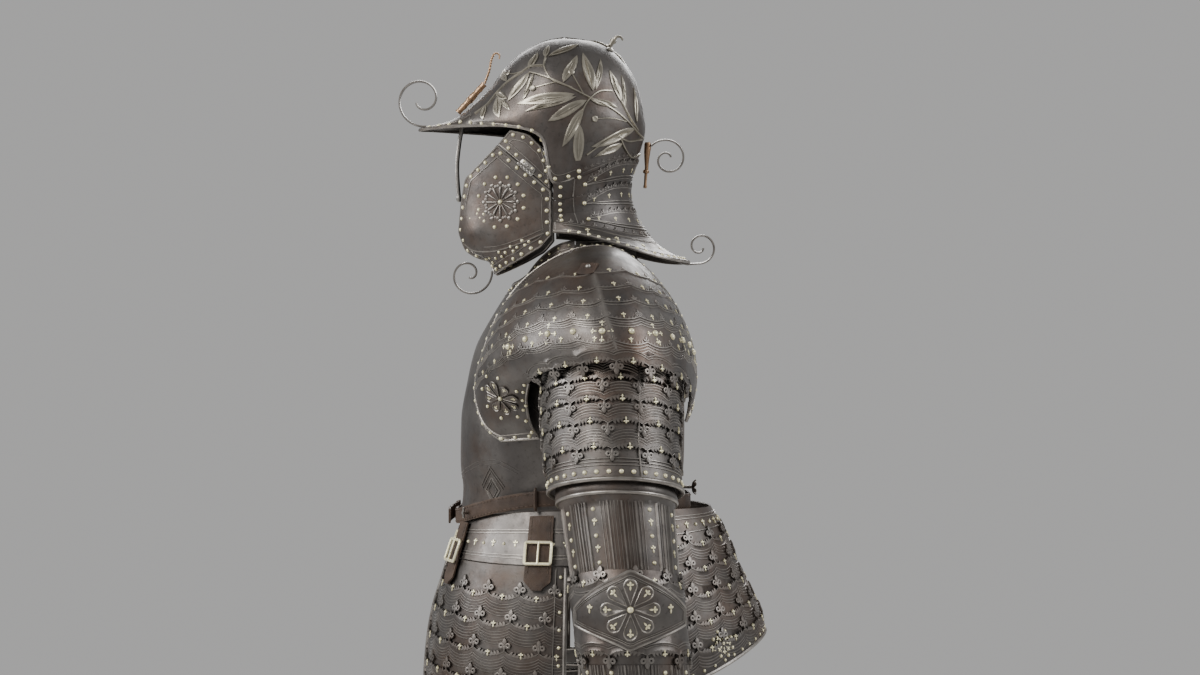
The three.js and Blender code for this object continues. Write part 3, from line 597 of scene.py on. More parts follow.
def drop(base, tip, width, fat=0.6):
    """The outline of a petal from its base to its tip, anticlockwise."""
    base, tip = np.array(base, float), np.array(tip, float)
    along = tip - base
    side = np.array([along[1], -along[0]]) / np.linalg.norm(along)
    spots = [(0, 0.25), (0.3, 0.75), (fat, 1), (0.85, 0.55), (1, 0)]

    def bank(way):
        return [base + along * t + side * (way * w * width / 2) for t, w in spots]

    return bank(1) + bank(-1)[-2::-1]


def circle(sides, radius=1.0, centre=(0, 0)):
    turns = np.arange(sides) * 2 * math.pi / sides
    return [(centre[0] + radius * math.cos(a), centre[1] + radius * math.sin(a)) for a in turns]


def petal(base, tip, width, height, fat=0.6, sunk=0.6):
    return mound(drop(base, tip, width, fat), [(1, -sunk), (0.8, height * 0.7)], height)


def dulled(template, share):
    """A template with less wear and painted highlight, so less bright, points."""
    points, faces, shade = template
    return points, faces, shade * share


STUD = mound(circle(8), [(1, -0.4), (1, 0.18), (0.62, 0.66)], 0.84)
BRASS_FLEUR = merged(
    petal((0, 0.5), (0, 5.2), 2.6, 1.0, 0.65), petal((0, 0.6), (3.6, 2.8), 2.3, 0.9, 0.7),
    petal((0, 0.6), (-3.6, 2.8), 2.3, 0.9, 0.7), petal((0, 1), (0, -4.4), 2.3, 1.0, 0.45),
)
STEEL_FLEUR = dulled(merged(
    annulus((4.6, 5.6), 4.1, 1.2, -2.4, 1.0), annulus((-4.6, 5.6), 4.1, 1.2, -2.4, 1.0),
    petal((0, 5), (0, 17.0), 7.8, 1.6, 0.5, sunk=2.4),
    petal((0, -3), (0, 9), 4.4, 1.3, 0.5, sunk=2.0),
), 0.5)
SMALL_FLEUR = dulled(merged(
    petal((0, 0), (0, 8), 3.2, 1.2, 0.6), petal((0, 0), (4.6, 3.6), 3.0, 1.1, 0.7),
    petal((0, 0), (-4.6, 3.6), 3.0, 1.1, 0.7),
), 0.55)
TOOTH_OUTLINE = [(-2.5, -2), (2.5, -2), (2.6, 1), (1.4, 4.2), (0.2, 3.4)]
TOOTH = dulled(mound(TOOTH_OUTLINE, [(1, -1.6), (1, 0.6)], 0.8), 0.3)


FLAT_REACH = 5.2  # templates smaller than this lie flat instead of following the surface


def place(bag, skin, template, u, v, scale=1.0, turn=0.0, lift=0.0, within=False):
    """Copies of a template laid on a surface at the parameters, turned in degrees. within keeps
    them off the surface's last row."""
    points, faces, shade = template
    u, v = np.atleast_1d(np.asarray(u, float)), np.atleast_1d(np.asarray(v, float))
    scale = (scale * np.ones(len(u)))[:, None]
    angle = (turn * np.ones(len(u)))[:, None] * RAD
    x, y, h = points.T
    dx = scale * (x * np.cos(angle) - y * np.sin(angle))
    dy = scale * (x * np.sin(angle) + y * np.cos(angle))
    reach = np.hypot(dx, dy).max()
    height = ((lift * np.ones(len(u)))[:, None] + scale * h)[..., None]
    if reach < FLAT_REACH:
        p, _, _, n = skin.frame(u, v)
        above = UP - dot(n, UP + 0 * n)[:, None] * n
        above = above / np.maximum(norm(above), 1e-6)
        aside = np.cross(above, n)
        p, n = p[:, None], n[:, None]
        placed = p + aside[:, None] * dx[..., None] + above[:, None] * dy[..., None] + n * height
    else:
        uu, vv = skin.offset(u[:, None] + 0 * dx, v[:, None] + 0 * dx, dx, dy, 1 + int(reach / 4))
        if within:
            vv = np.clip(vv, 0.05, skin.tall - 0.3)
        p, _, _, n = skin.frame(uu, vv)
        placed = p + n * height
    starts = np.arange(len(u))[:, None, None] * len(points)
    copies = [(np.asarray(g)[None] + starts).reshape(-1, np.shape(g)[1]) for g in faces]
    bag.add(placed, copies, np.tile(shade, len(u)))


def distances(points):
    """How far along a line each of its points is."""
    return np.r_[0, np.cumsum(np.linalg.norm(np.diff(points, axis=0), axis=1))]


def spaced(skin, us, vs, gap):
    """Parameters at even distances along a path on a surface."""
    us, vs = np.broadcast_arrays(np.asarray(us, float), np.asarray(vs, float))
    s = distances(skin.at(us, vs))
    count = max(1, int(round(s[-1] / gap)))
    spots = (np.arange(count) + 0.5) * s[-1] / count
    return np.interp(spots, s, us), np.interp(spots, s, vs)


def inset(skin, mm, count):
    """A closed loop of parameters that keeps a distance from the four edges."""
    wide, tall = skin.wide, skin.tall
    t = np.linspace(0, 1, count, endpoint=False)
    us = np.concatenate([wide * t, wide + 0 * t, wide - wide * t, 0 * t])
    vs = np.concatenate([0 * t, tall * t, tall + 0 * t, tall - tall * t])
    _, su, sv, _ = skin.frame(us, vs)
    du, dv = mm / norm(su)[:, 0], mm / norm(sv)[:, 0]
    return (
        np.where(us > wide / 2, np.minimum(us, wide - du), np.maximum(us, du)),
        np.where(vs > tall / 2, np.minimum(vs, tall - dv), np.maximum(vs, dv)),
    )


def closed_loop(u, v):
    """A loop of parameters that ends where it starts."""
    return np.r_[u, u[:1]], np.r_[v, v[:1]]


def piece(name, bag, material, body, slot, *nodes, angle=42):
    """Makes a bag into a piece that rides on a body and stands for CAD nodes."""
    mesh = bpy.data.meshes.new(name)
    points = np.concatenate(bag.points) * MM
    faces = [f for group in bag.faces for f in group.tolist()]
    mesh.from_pydata(points.tolist(), [], faces)
    mesh.validate()
    worn = mesh.attributes.new("worn", "FLOAT", "POINT")
    worn.data.foreach_set("value", np.concatenate(bag.worn).astype(np.float32))
    mesh.shade_smooth()
    mesh.set_sharp_from_angle(angle=angle * RAD)
    mesh.materials.append(material)
    obj = bpy.data.objects.new(name, mesh)
    bpy.context.scene.collection.objects.link(obj)
    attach(obj, body)
    if nodes:
        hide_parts(*nodes)
    return obj


def pair(name, bag, material, slot, node, bodies=("suit", "suit")):
    piece(f"{name}_left", bag, material, bodies[0], slot, *([f"{node}_l"] if node else []))
    piece(
        f"{name}_right", bag.mirrored(), material, bodies[1], slot,
        *([f"{node}_r"] if node else []),
    )


class Plate:
    """A surface under work, with the steel and the brass that lie on it."""

    def __init__(self, skin, brass=None):
        self.skin, self.steel, self.brass = skin, Bag(), brass or Bag()

    def shell(self, us, vs, *more, **named):
        shell(self.steel, self.skin, us, vs, *more, **named)

    def line(self, us, vs, *more, **named):
        ridge(self.steel, self.skin, us, vs, *more, **named)

    def bar(self, us, vs, radius, sides=8, closed=False, worn=0.7, depth=PLATE / 2):
        """A round bar along a path, sunk into the plate."""
        us, vs = np.broadcast_arrays(np.asarray(us, float), np.asarray(vs, float))
        p, _, _, n = self.skin.frame(us, vs)
        tube(self.steel, p - n * depth, radius, sides, closed, worn)

    def rim(self, us, vs, radius):
        """The rolled edge of a plate, brightened by wear and painted highlight."""
        self.bar(us, vs, radius, 6, worn=0.75)

    def cut(self, template, u, v, *more, **named):
        """Ornament in the plate's own steel."""
        place(self.steel, self.skin, template, u, v, *more, **named)

    def inlay(self, template, u, v, *more, **named):
        """Ornament in brass."""
        place(self.brass, self.skin, template, u, v, *more, **named)

    def studs(self, us, vs, gap, radius=2.6, lift=0.0):
        self.inlay(STUD, *spaced(self.skin, us, vs, gap), radius, lift=lift)

    def stud_ring(self, u, v, count, radius, size=2.5):
        a = (np.arange(count) + 0.5) * 2 * math.pi / count
        u, v = float(np.ravel(u)[0]) + 0 * a, float(np.ravel(v)[0]) + 0 * a
        uu, vv = self.skin.offset(u, v, radius * np.sin(a), radius * np.cos(a), 5)
        self.inlay(STUD, uu, vv, size)

    def rosette(self, u, v, count, size, fleur=0.0, hub=3.0, lift=0.0):
        """Petals or rays round a brass stud, with a brass fleur of its own size in each petal."""
        turns = np.arange(count) * 360 / count
        u, v = float(np.ravel(u)[0]) + 0 * turns, float(np.ravel(v)[0]) + 0 * turns
        template = petals_template(count, size) if count < 10 else rays_template(size)
        self.cut(template, u, v, 1, turns, lift)
        if fleur:
            r = size * 0.74
            aside, above = -r * np.sin(turns * RAD), r * np.cos(turns * RAD)
            uu, vv = self.skin.offset(u, v, aside, above, 5)
            self.inlay(BRASS_FLEUR, uu, vv, fleur, turns, 0.6 + lift)
        self.inlay(STUD, u[:1], v[:1], hub, lift=lift + 0.6)

    def finish(self, name, studs_name, node):
        """One piece of steel and one of brass, in the middle of the suit."""
        piece(name, self.steel, STEEL, "suit", "dark_steel", node)
        piece(studs_name, self.brass, BRASS, "suit", "brass")

    def finish_pair(self, name, studs_name, node, bodies=("suit", "suit")):
        """The same on the left, and mirrored on the right."""
        pair(name, self.steel, STEEL, "dark_steel", node, bodies)
        pair(studs_name, self.brass, BRASS, "brass", None, bodies)


# ---- Materials of the suit ------------------------------------------------------------------

# The bright colour of each metal, after the patina share, is the one for wear and painted highlight
# on raised places.
STEEL = metal(
    "dark_steel", (0.098, 0.09, 0.086), (0.165, 0.153, 0.143), (0.112, 0.068, 0.045), 0.17,
    (0.37, 0.345, 0.315), 0.43,
)
GILT_STEEL = metal(
    "leaf_steel", (0.155, 0.143, 0.122), (0.27, 0.25, 0.207), (0.14, 0.1, 0.06), 0.12,
    (0.47, 0.435, 0.36), 0.4,
)
BRIGHT = metal(
    "bright_steel", (0.19, 0.18, 0.17), (0.32, 0.305, 0.285), (0.14, 0.1, 0.075), 0.12,
    (0.5, 0.48, 0.45), 0.36,
)
COPPER = metal(
    "copper", (0.2, 0.115, 0.06), (0.4, 0.245, 0.14), (0.1, 0.06, 0.04), 0.12, (0.62, 0.42, 0.27),
    0.38,
)
BRASS = metal(
    "brass", (0.62, 0.56, 0.33), (0.84, 0.78, 0.52), (0.36, 0.29, 0.15), 0.0, (0.93, 0.88, 0.64),
    0.36, 0.45,
)
LEATHER_LOOK = leather_material()

# ---- Helmet ---------------------------------------------------------------------------------

HEAD = (0, -40, 180)
SKULL_TURNS = [0, 12, 24, 36, 50, 62, 72, 84, 105, 120, 135, 150, 165, 180]
SKULL_WIDEST_Y = -36.0
SKULL_SIDES, SKULL_REAR = 130, 13.0  # faces round the skull, and its rear column
SKULL = [
    (SKULL_WIDEST_Y, SKULL_WIDEST_Y, 0.0, 313, 313, 313), (-67, 12, 40, 306, 304, 305),
    (-98, 38, 68, 288, 285, 288), (-121, 57, 86, 265, 260, 262), (-138, 67, 95, 243, 236, 236),
    (-159, 73, 99, 222, 210, 208), (-190, 76, 99, 199, 186, 178),
]
PEAK_RIM = [
    (0, -239, 185), (20, -222, 186), (43, -192, 186), (65, -152, 185), (84, -112, 182),
    (94, -80, 175), (96, -62, 160), (96, -50, 105),
]
NAPE = [
    (96, 0, 66, 104, 139), (95, 0, 57, 80, 106), (94, 2, 63, 63, 70), (94, 14, 84, 51, 36),
    (94, 36, 106, 45, 16), (94, 60, 139, 38, 0),
]
NAPE_FRONT_Y = -49.5
CHEEK_REAR_Y = -52.5
FACE = [
    (180, -190, 93.4), (112, -190, 93.4), (41, -188, 92), (14, -178, 90), (4, -160, 90),
    (2, -146, 90), (-20, -136, 92),
]
CHIN_STUDS = [  # threes of studs below the cheek's rosette
    (-104, 12), (-120, 5), (-134, -2), (-88, 20), (-152, 40), (-160, 52), (-150, 58), (-164, 34),
]
SEAM_FRONT, SEAM_REAR = (-125.5, 157.0), (CHEEK_REAR_Y, 93.0)


def ring(front, back, half, front_z, side_z, back_z, turn, middle, square=2.0):
    """A point of a ring round the body, turned from the front over the left side."""
    sin, cos = np.sin(turn * RAD), np.cos(turn * RAD)
    reach = np.where(cos > 0, middle - front, back - middle)
    end = np.where(cos > 0, front_z, back_z)
    return np.stack([
        half * signed_power(sin, 2 / square), middle - reach * signed_power(cos, 2 / square),
        mixed(side_z, end, cos * cos),
    ], -1)


def nape_point(row, side):
    half, flare, back, edge_z, back_z = row
    turn = side * 90 * RAD
    share = np.cos(turn)
    return np.stack([
        np.sin(turn) * (half + flare * share), mixed(NAPE_FRONT_Y, back, share),
        mixed(edge_z, back_z, smooth(share)),
    ], -1)


def face_x(y, z):
    reach, half = columns_at(FACE, z)
    share = np.where(y < CHEEK_REAR_Y, (y - CHEEK_REAR_Y) / (reach - CHEEK_REAR_Y), 0)
    return half * np.sqrt(np.maximum(1 - share * share, 0))


def face_points(yz):
    return np.concatenate([face_x(yz[..., 0], yz[..., 1])[..., None], yz], -1)


def face_patch(top, bottom, rear, front, across=14, down=22):
    """A surface on the face between four chains of (y, z) corners."""
    u, v = np.meshgrid(np.linspace(0, 1, across), np.linspace(0, 1, down))
    t, b = along_chain(top, u), along_chain(bottom, u)
    r, f = along_chain(rear, v), along_chain(front, v)
    corners = [np.array(p, float) for p in (top[0], top[-1], bottom[0], bottom[-1])]
    u, v = u[..., None], v[..., None]
    plain = mixed(mixed(corners[0], corners[1], u), mixed(corners[2], corners[3], u), v)
    return Skin(face_points(mixed(t, b, v) + mixed(r, f, u) - plain), HEAD)


def both(bag, left):
    """Adds a bag and its mirror image to another."""
    for part in (left, left.mirrored()):
        for points, worn in zip(part.points, part.worn):
            bag.points.append(points)
            bag.worn.append(worn)
        bag.faces += [f + bag.count for f in part.faces]
        bag.count += part.count


def skull_skin():
    turns = np.array(SKULL_TURNS + [-t for t in SKULL_TURNS[-2::-1]], float)
    rows = [ring(*row, turns, SKULL_WIDEST_Y) for row in SKULL]
    left = [list(p) for p in PEAK_RIM]
    for turn in SKULL_TURNS[len(PEAK_RIM):]:
        rest = (turn - 90) / 90
        left.append(list(nape_point(NAPE[0], 1 - rest)))
    rows.append(np.array(left + [[-x, y, z] for x, y, z in left[-2::-1]]))
    return Skin(rows, HEAD, closed=True)


def path_on(skin, corners, count):
    """Parameters along a smooth line through (y, z) points in the view from the left."""
    return skin.find(*curve(corners, count).T)


def lens(length, width, bend):
    """The outline of a long leaf that points up and curves aside, anticlockwise."""
    t = np.linspace(0, 1, 9)
    half = width / 2 * np.sin(math.pi * t ** 0.9) ** 0.8
    middle = bend * np.sin(math.pi * t * 0.5) ** 2
    right = list(zip(middle + half, length * t))
    left = list(zip(middle - half, length * t))
    return right + left[-2:0:-1]


def leaf(length, width, bend):
    blade = mound(lens(length, width, bend), [(1, -0.6), (1, 1.3), (0.8, 1.7), (0.58, 0.9)], 1.0)
    rib = mound(lens(length * 0.86, 1.7, bend * 0.8), [(1, 0.2), (0.9, 1.8)], 2.0)
    return merged(blade, rib)


BERRY = mound(circle(10), [(1, -0.3), (1, 0.32), (0.7, 0.5)], 0.34)

# The foliage in the side view, as (Y, Z) in millimetres: stems along their corners, leaves from
# base to tip with their width and bend, and berries on twigs.
STEMS = [
    [(74, 172), (66, 177), (44, 197), (20, 212), (0, 220), (-36, 238), (-64, 250), (-82, 256)],
    [(30, 231), (13, 229), (0, 218), (-8, 205), (-14, 184)],
    [(-24, 233), (-51, 244), (-62, 263), (-60, 279)],
    [(-62, 265), (-80, 265), (-92, 258), (-113, 245), (-128, 230), (-141, 214), (-158, 202)],
    [(66, 180), (53, 199), (43, 218)],
    [(71, 169), (53, 164), (36, 168), (17, 158), (-4, 142)],
    [(71, 152), (58, 143), (49, 152), (42, 166)],
]
LEAVES = [
    ((-14, 184), (-14, 127), 15, 2), ((-8, 205), (-40, 159), 13, -5),
    ((-4, 216), (-57, 192), 14, -5),
    ((-20, 224), (-97, 203), 16, 7), ((-18, 221), (-86, 195), 9, 5), ((4, 229), (-6, 283), 16, -5),
    ((8, 231), (11, 276), 9, 5), ((-36, 240), (-22, 280), 13, 6), ((-82, 256), (-106, 215), 13, 5),
    ((-76, 253), (-93, 219), 8, -4), ((-82, 262), (-75, 284), 13, 4),
    ((-60, 277), (-61, 294), 10, 3),
    ((-56, 278), (-12, 294), 12, 5), ((-113, 246), (-122, 264), 12, -4),
    ((-128, 230), (-112, 222), 10, 4),
    ((-126, 225), (-122, 194), 13, 4), ((-122, 222), (-112, 201), 7, -3),
    ((-143, 213), (-146, 192), 9, 3),
    ((62, 182), (0, 165), 13, -8), ((44, 160), (12, 140), 11, 4), ((22, 150), (-4, 129), 9, -4),
    ((43, 216), (29, 260), 14, -4), ((48, 208), (41, 254), 8, 4), ((64, 190), (59, 240), 10, 4),
    ((0, 218), (36, 203), 9, -5),
]
BERRIES = [
    ([(-8, 224), (-17, 240), (-25, 255)], 4.6), ([(-44, 241), (-62, 237), (-77, 233)], 4.6),
    ([(50, 190), (30, 193), (7, 191)], 4.2), ([(-92, 258), (-104, 256), (-112, 258)], 3.8),
]


def leaf_between(bag, skin, base, tip, width, bend):
    """One leaf on a surface, from base to tip in the side view."""
    u, v = skin.find([base[0], tip[0]], [base[1], tip[1]])
    p, _, _, n = skin.frame(u, v)
    up = UP - n[0] * (n[0] @ UP)
    up /= np.linalg.norm(up)
    along = p[1] - p[0]
    heading = math.atan2(-(along @ np.cross(up, n[0])), along @ up) / RAD
    length = float(np.linalg.norm(along)) * 1.02
    place(bag, skin, leaf(length, width, bend), u[:1], v[:1], 1, heading, within=True)


def make_foliage(skin):
    left = Bag()
    for corners in STEMS:
        ridge(left, skin, *path_on(skin, corners, 60), 2.0, 2.0, worn=0.8)
    for base, tip, width, bend in LEAVES:
        leaf_between(left, skin, base, tip, width, bend)
    for corners, radius in BERRIES:
        u, v = path_on(skin, corners, 24)
        ridge(left, skin, u, v, 1.2, 1.4, worn=0.8)
        place(left, skin, BERRY, u[-1:], v[-1:], radius)
    foliage = Bag()
    both(foliage, left)
    piece("skull_foliage", foliage, GILT_STEEL, "suit", "bright_steel")


def make_skull():
    skin = skull_skin()
    plate, left = Plate(skin), Plate(skin)
    us = np.linspace(0, skin.wide, SKULL_SIDES + 1)[:-1]
    vs = np.r_[0.03, np.linspace(0.2, 7, 52)]
    u, v = np.meshgrid(us, vs)
    comb = bell(np.minimum(u, skin.wide - u), 0.28) + bell(u - SKULL_REAR, 0.3)
    # The raised combs are brighter: wear with painted highlight.
    plate.shell(u, v, 2.2 * comb * smooth((6.6 - v) / 1.5), worn=0.25 * comb, closed=True)
    crown = np.concatenate([skin.at(us, 0.03), [skin.at(0.0, 0.0)]])
    k = np.arange(SKULL_SIDES)
    plate.steel.add(crown, [np.stack([k, np.roll(k, -1), np.full(SKULL_SIDES, SKULL_SIDES)], -1)])

    def above_rim(u, mm):
        return skin.tall - mm / skin.per_row(u, 6.8 + 0 * u)

    peak_u, rear_u = np.linspace(0, 7.95, 90), np.linspace(8.3, 12.9, 60)
    left.rim(peak_u, 6.99, 2.3)
    left.line(peak_u[6:], above_rim(peak_u[6:], 13), 1.0, 0.8)
    left.studs(peak_u[3:], above_rim(peak_u, 7.2)[3:], 19, 2.9)
    left.line(rear_u, above_rim(rear_u, 5), 0.9, 0.7)
    left.cut(SMALL_FLEUR, *spaced(skin, rear_u, above_rim(rear_u, 5) - 0.05, 9), 0.62)
    for z in (120, 109.8):
        u, v = skin.find(-14.5, z)
        if abs(skin.at(u, v)[0, 2] - z) < 2:
            left.inlay(STUD, u, v, 3.1)
    both(plate.steel, left.steel)
    both(plate.brass, left.brass)
    piece("skull_shell", plate.steel, STEEL, "suit", "dark_steel", "skull")
    make_foliage(skin)
    return plate.brass


def make_nape(brass):
    sides = np.linspace(1, -1, 33)
    rows = [nape_point(row, sides) for row in NAPE]
    skin = Skin(rows, HEAD)
    us = np.linspace(0, 32, 150)
    middle = np.abs(us - 16) / 16
    for k in range(3):
        plate = Plate(skin, brass)
        plate.shell(us, np.linspace(k + 0.01, k + 0.99, 9), np.linspace(1.3, -0.6, 9)[:, None])
        inner = us[20:-20]
        fan = smooth((middle[20:-20] - 0.45) / 0.4)
        for d in (0.12, 0.62, 0.74):
            plate.line(inner, k + mixed(d, 0.5, fan), 1.1, 1.0, 0.5)
        for end in (2.6, 29.4):
            plate.line([end, end], [k + 0.03, k + 0.97], 1.2, 1.0, 0.4)
        u, v = spaced(skin, inner, k + mixed(0.06, 0.4, fan), 15)
        plate.cut(SMALL_FLEUR, u, v, 0.95, lift=1.0)
        u, v = spaced(skin, inner, k + mixed(0.03, 0.38, fan), 5.2)
        plate.cut(TOOTH, u, v, 0.85, lift=0.8)
        u, v = spaced(skin, inner, k + 0.4, 27)
        plate.inlay(BRASS_FLEUR, u, v, 0.8, lift=0.5)
        for end in (0.9, 31.1):
            plate.inlay(STUD, [end, end], [k + 0.27, k + 0.77], 2.8)
        for end in (4.1, 27.9):
            plate.inlay(STUD, [end], [k + 0.5], 3.0, lift=0.6)
        piece(f"nape_plate_{k + 1}", plate.steel, STEEL, "suit", "dark_steel", f"nape_lame_{k + 1}")
    plate = Plate(skin, brass)
    plate.shell(us, np.linspace(3.01, 4.985, 18), 0.4)
    plate.rim(us, 4.98, 2.4)
    for k in (3.1, 3.42, 3.5, 4.52, 4.6):
        plate.line(us[4:-4], k, 0.9, 0.8, 0.3)
    for end in (0.2, 31.8):
        plate.bar(end, np.linspace(3.02, 4.97, 20), 1.7, worn=0.5)
    u, v = spaced(skin, us, 3.05, 16)
    plate.cut(SMALL_FLEUR, u, v, 0.9, lift=0.4)
    plate.studs(us[4:-4], 4.78, 13.5, 2.8, lift=0.3)
    u, v = spaced(skin, us[8:-8], 4.0, 40)
    plate.inlay(BRASS_FLEUR, u, v, 0.95, lift=0.4)
    piece("nape_flare", plate.steel, STEEL, "suit", "dark_steel", "nape_tail")


def petals_template(count, size):
    """A spoon-shaped petal of a rosette: a raised border round a hollow, pointing up."""
    start = size * 0.14
    half = math.pi * size * 0.7 / count * 0.86
    t = np.array([0, 0.25, 0.5, 0.7, 0.82, 0.92, 0.98])
    width = half * np.minimum(t / 0.7 + 0.05, 1) * np.sqrt(1 - np.clip((t - 0.7) / 0.31, 0, 1) ** 2)
    y = start + (size - start) * t
    outline = list(zip(width, y)) + [(0, size)] + list(zip(-width[::-1], y[::-1]))
    return mound(outline, [(1, -0.8), (1, 1.2), (0.9, 1.7), (0.78, 0.5)], 0.5)


def rays_template(size):
    """One ray of a many-petalled rosette: a narrow ridge that ends in a round bud."""
    return merged(
        mound(
            drop((0, size * 0.16), (0, size * 0.86), size * 0.13, 0.8),
            [(1, -0.8), (1, 1.0), (0.5, 2.0)], 2.3,
        ),
        mound(circle(7, size * 0.1, (0, size * 0.92)), [(1, -0.8), (1, 0.9), (0.6, 1.5)], 1.6),
        mound(circle(6, size * 0.08, (size * 0.14, size * 0.78)), [(1, -0.8), (1, 0.8)], 1.3),
        mound(circle(6, size * 0.08, (-size * 0.14, size * 0.78)), [(1, -0.8), (1, 0.8)], 1.3),
    )


def make_cheeks():
    clear = 0.7
    along = np.array(SEAM_REAR) - np.array(SEAM_FRONT)
    away = np.array([-along[1], along[0]]) / np.linalg.norm(along)
    low_corner = tuple(np.array(SEAM_FRONT) - away * clear)
    high_corner = tuple(np.array(SEAM_FRONT) + away * clear)
    lower = face_patch(
        [(CHEEK_REAR_Y, SEAM_REAR[1] - clear), low_corner],
        [(CHEEK_REAR_Y, 33), (-66, 17), (-95, 0), (-132, -18)],
        [(CHEEK_REAR_Y, SEAM_REAR[1] - clear), (CHEEK_REAR_Y, 33)],
        [
            low_corner, (-151, 132), (-172, 112), (-178, 81), (-182, 41), (-173, 14), (-156, 5),
            (-141, 2), (-132, -18),
        ],
    )
    upper = face_patch(
        [(-58, 128), (-67, 154), (-83, 170), (-108, 176)],
        [(CHEEK_REAR_Y - 1, SEAM_REAR[1] + 2), high_corner],
        [(-58, 128), (CHEEK_REAR_Y - 1, SEAM_REAR[1] + 2)], [(-108, 176), high_corner], 12, 12,
    )
    plate = Plate(lower)
    us, vs = np.linspace(0, lower.wide, 46), np.linspace(0, lower.tall, 66)
    u, v = np.meshgrid(us, vs)
    p = lower.at(u, v)
    bowl = bell(np.hypot((p[..., 1] + 158) / 20, (p[..., 2] - 42) / 24), 1)
    plate.shell(u, v, 3.0 * bowl)
    plate.bar(*inset(lower, 1.2, 40), 1.9, closed=True)
    plate.line(*inset(lower, 12.5, 40), 1.0, 0.9, closed=True)
    plate.studs(*closed_loop(*inset(lower, 5.8, 40)), 15.5, 2.9)
    u0, v0 = lower.find(-122, 79)
    plate.rosette(u0, v0, 12, 28, 0, 3.2)
    plate.stud_ring(u0, v0, 12, 35, 2.8)
    crease = [(-62, 36), (-96, 22), (-128, 13), (-158, 14), (-174, 24)]
    plate.line(*path_on(lower, crease, 40), 1.7, 1.8)
    crease = [(-62, 42), (-96, 28), (-128, 19), (-158, 20), (-172, 30)]
    plate.line(*path_on(lower, crease, 40), 0.9, 0.8)
    for y, z in CHIN_STUDS:
        plate.inlay(STUD, *lower.find([y, y + 5, y - 4], [z, z + 5, z + 6]), 2.4)
    plate.finish_pair("cheek_plate", "cheek_studs", "cheek", ("cheek_left", "cheek_right"))

    plate = Plate(upper)
    plate.shell(np.linspace(0, upper.wide, 30), np.linspace(0, upper.tall, 30))
    plate.bar(*inset(upper, 1.2, 20), 1.6, closed=True)
    plate.line(*inset(upper, 11.5, 20), 0.9, 0.8, closed=True)
    plate.studs(*closed_loop(*inset(upper, 5.6, 20)), 14.5, 2.8)
    plate.finish_pair("corner_plate", "corner_studs", "cheek_upper")

    # The hinge: knuckles round the pin, with its leaf riveted to the upper plate.
    front, rear = face_points(np.array([(-97.0, 131.5), (-77.0, 113.7)]))
    pos = np.array([93.886, -87.631, 122.634])
    axis = (front - rear) / np.linalg.norm(front - rear)
    half = np.linalg.norm(front - rear) / 2
    hinge = Bag()
    for k in range(5):
        a, b = -1 + 0.4 * k + 0.02, -1 + 0.4 * (k + 1) - 0.02
        line = pos + axis * half * np.linspace(a, b, 6)[:, None]
        tube(hinge, line, 3.0 * np.array([0.9, 1, 1, 1, 1, 0.9]), 14, worn=0.8)
    middle_u, middle_v = upper.find([-83.2], [127.4])
    outline = [(-12, -3.6), (12, -3.6), (12, 1), (9, 3.6), (-9, 3.6), (-12, 1)]
    place(
        hinge, upper, mound(outline, [(1, 0.2), (1, 1.2), (0.93, 1.5)], 1.5), middle_u, middle_v,
        1, -41.7,
    )
    for aside in (-8.0, 0.0, 8.0):
        u1, v1 = upper.offset(
            middle_u, middle_v, np.array([aside * 0.747]), np.array([-aside * 0.665]), 2,
        )
        place(hinge, upper, STUD, u1, v1, 1.5, lift=1.3)
    pair("hinge_barrel", hinge, BRIGHT, "bright_steel", "cheek_hinge")


def ribbon(bag, centre, radii, start, sweep, width, middle=0.0, lead=()):
    """A steel ribbon rolled up in a plane of constant X, narrowing towards its inner end."""
    steps = 84
    t = np.linspace(0, 1, steps)
    angle = (start + sweep * t) * RAD
    radius = mixed(radii[0], radii[1], t)
    line = np.stack([centre[0] + radius * np.cos(angle), centre[1] + radius * np.sin(angle)], -1)
    if lead:
        line = np.concatenate([np.array(lead, float), line])
    tangent = np.gradient(line, axis=0)
    tangent /= norm(tangent)
    side = np.stack([-tangent[:, 1], tangent[:, 0]], -1)
    t = np.linspace(0, 1, len(line))
    half = width / 2 * mixed(1.0, 0.62, t)
    section = [
        (-1, -0.55), (-1, 0.55), (-0.6, 0.9), (0, 1.1), (0.6, 0.9), (1, 0.55), (1, -0.55),
        (0, -0.8),
    ]
    rings = []
    for x, h in section:
        yz = line + side * (h * 1.6)
        rings.append(np.concatenate([(middle + x * half)[:, None], yz], -1))
    points = np.stack(rings, 1).reshape(-1, 3)
    k, count = len(section), len(line)
    # Its edges are brighter than its faces: wear with painted highlight.
    bag.add(points, tube_faces(count, k), np.tile([0.9, 0.9, 0.5, 0.3, 0.5, 0.9, 0.9, 0.3], count))


def lathe(bag, profile, base, axis):
    """A turned form: (radius, height) rings round an axis."""
    sides = 20
    axis = np.array(axis, float) / np.linalg.norm(axis)
    side = np.cross(axis, [1.0, 0, 0])
    side /= np.linalg.norm(side)
    other = np.cross(axis, side)
    turns = (np.arange(sides) * 2 * math.pi / sides)[:, None]
    spokes = np.cos(turns) * side + np.sin(turns) * other
    rings = [np.array(base) + axis * h + r * spokes for r, h in profile]
    bag.add(np.concatenate(rings), tube_faces(len(profile), sides), 0.4)


HOLDER_AT, HOLDER_LEAN = (0, 77, 103), (0, 0.06, 1)
HOLDER = [
    (0.4, 0), (2.4, 0.5), (2.6, 3), (2.0, 6), (2.2, 30), (3.6, 42), (4.4, 50), (4.6, 62),
    (3.8, 64.4), (1, 64.6),
]
HOLDER_RING = [(3.4, 21), (4.3, 22), (4.3, 25), (3.4, 26)]
FINIAL = [
    (0.5, -0.2), (8.8, 0), (9.0, 1.4), (6, 2.6), (3.4, 4), (3.0, 8), (4.8, 11), (4.2, 14),
    (1.4, 16), (0.2, 16.2),
]


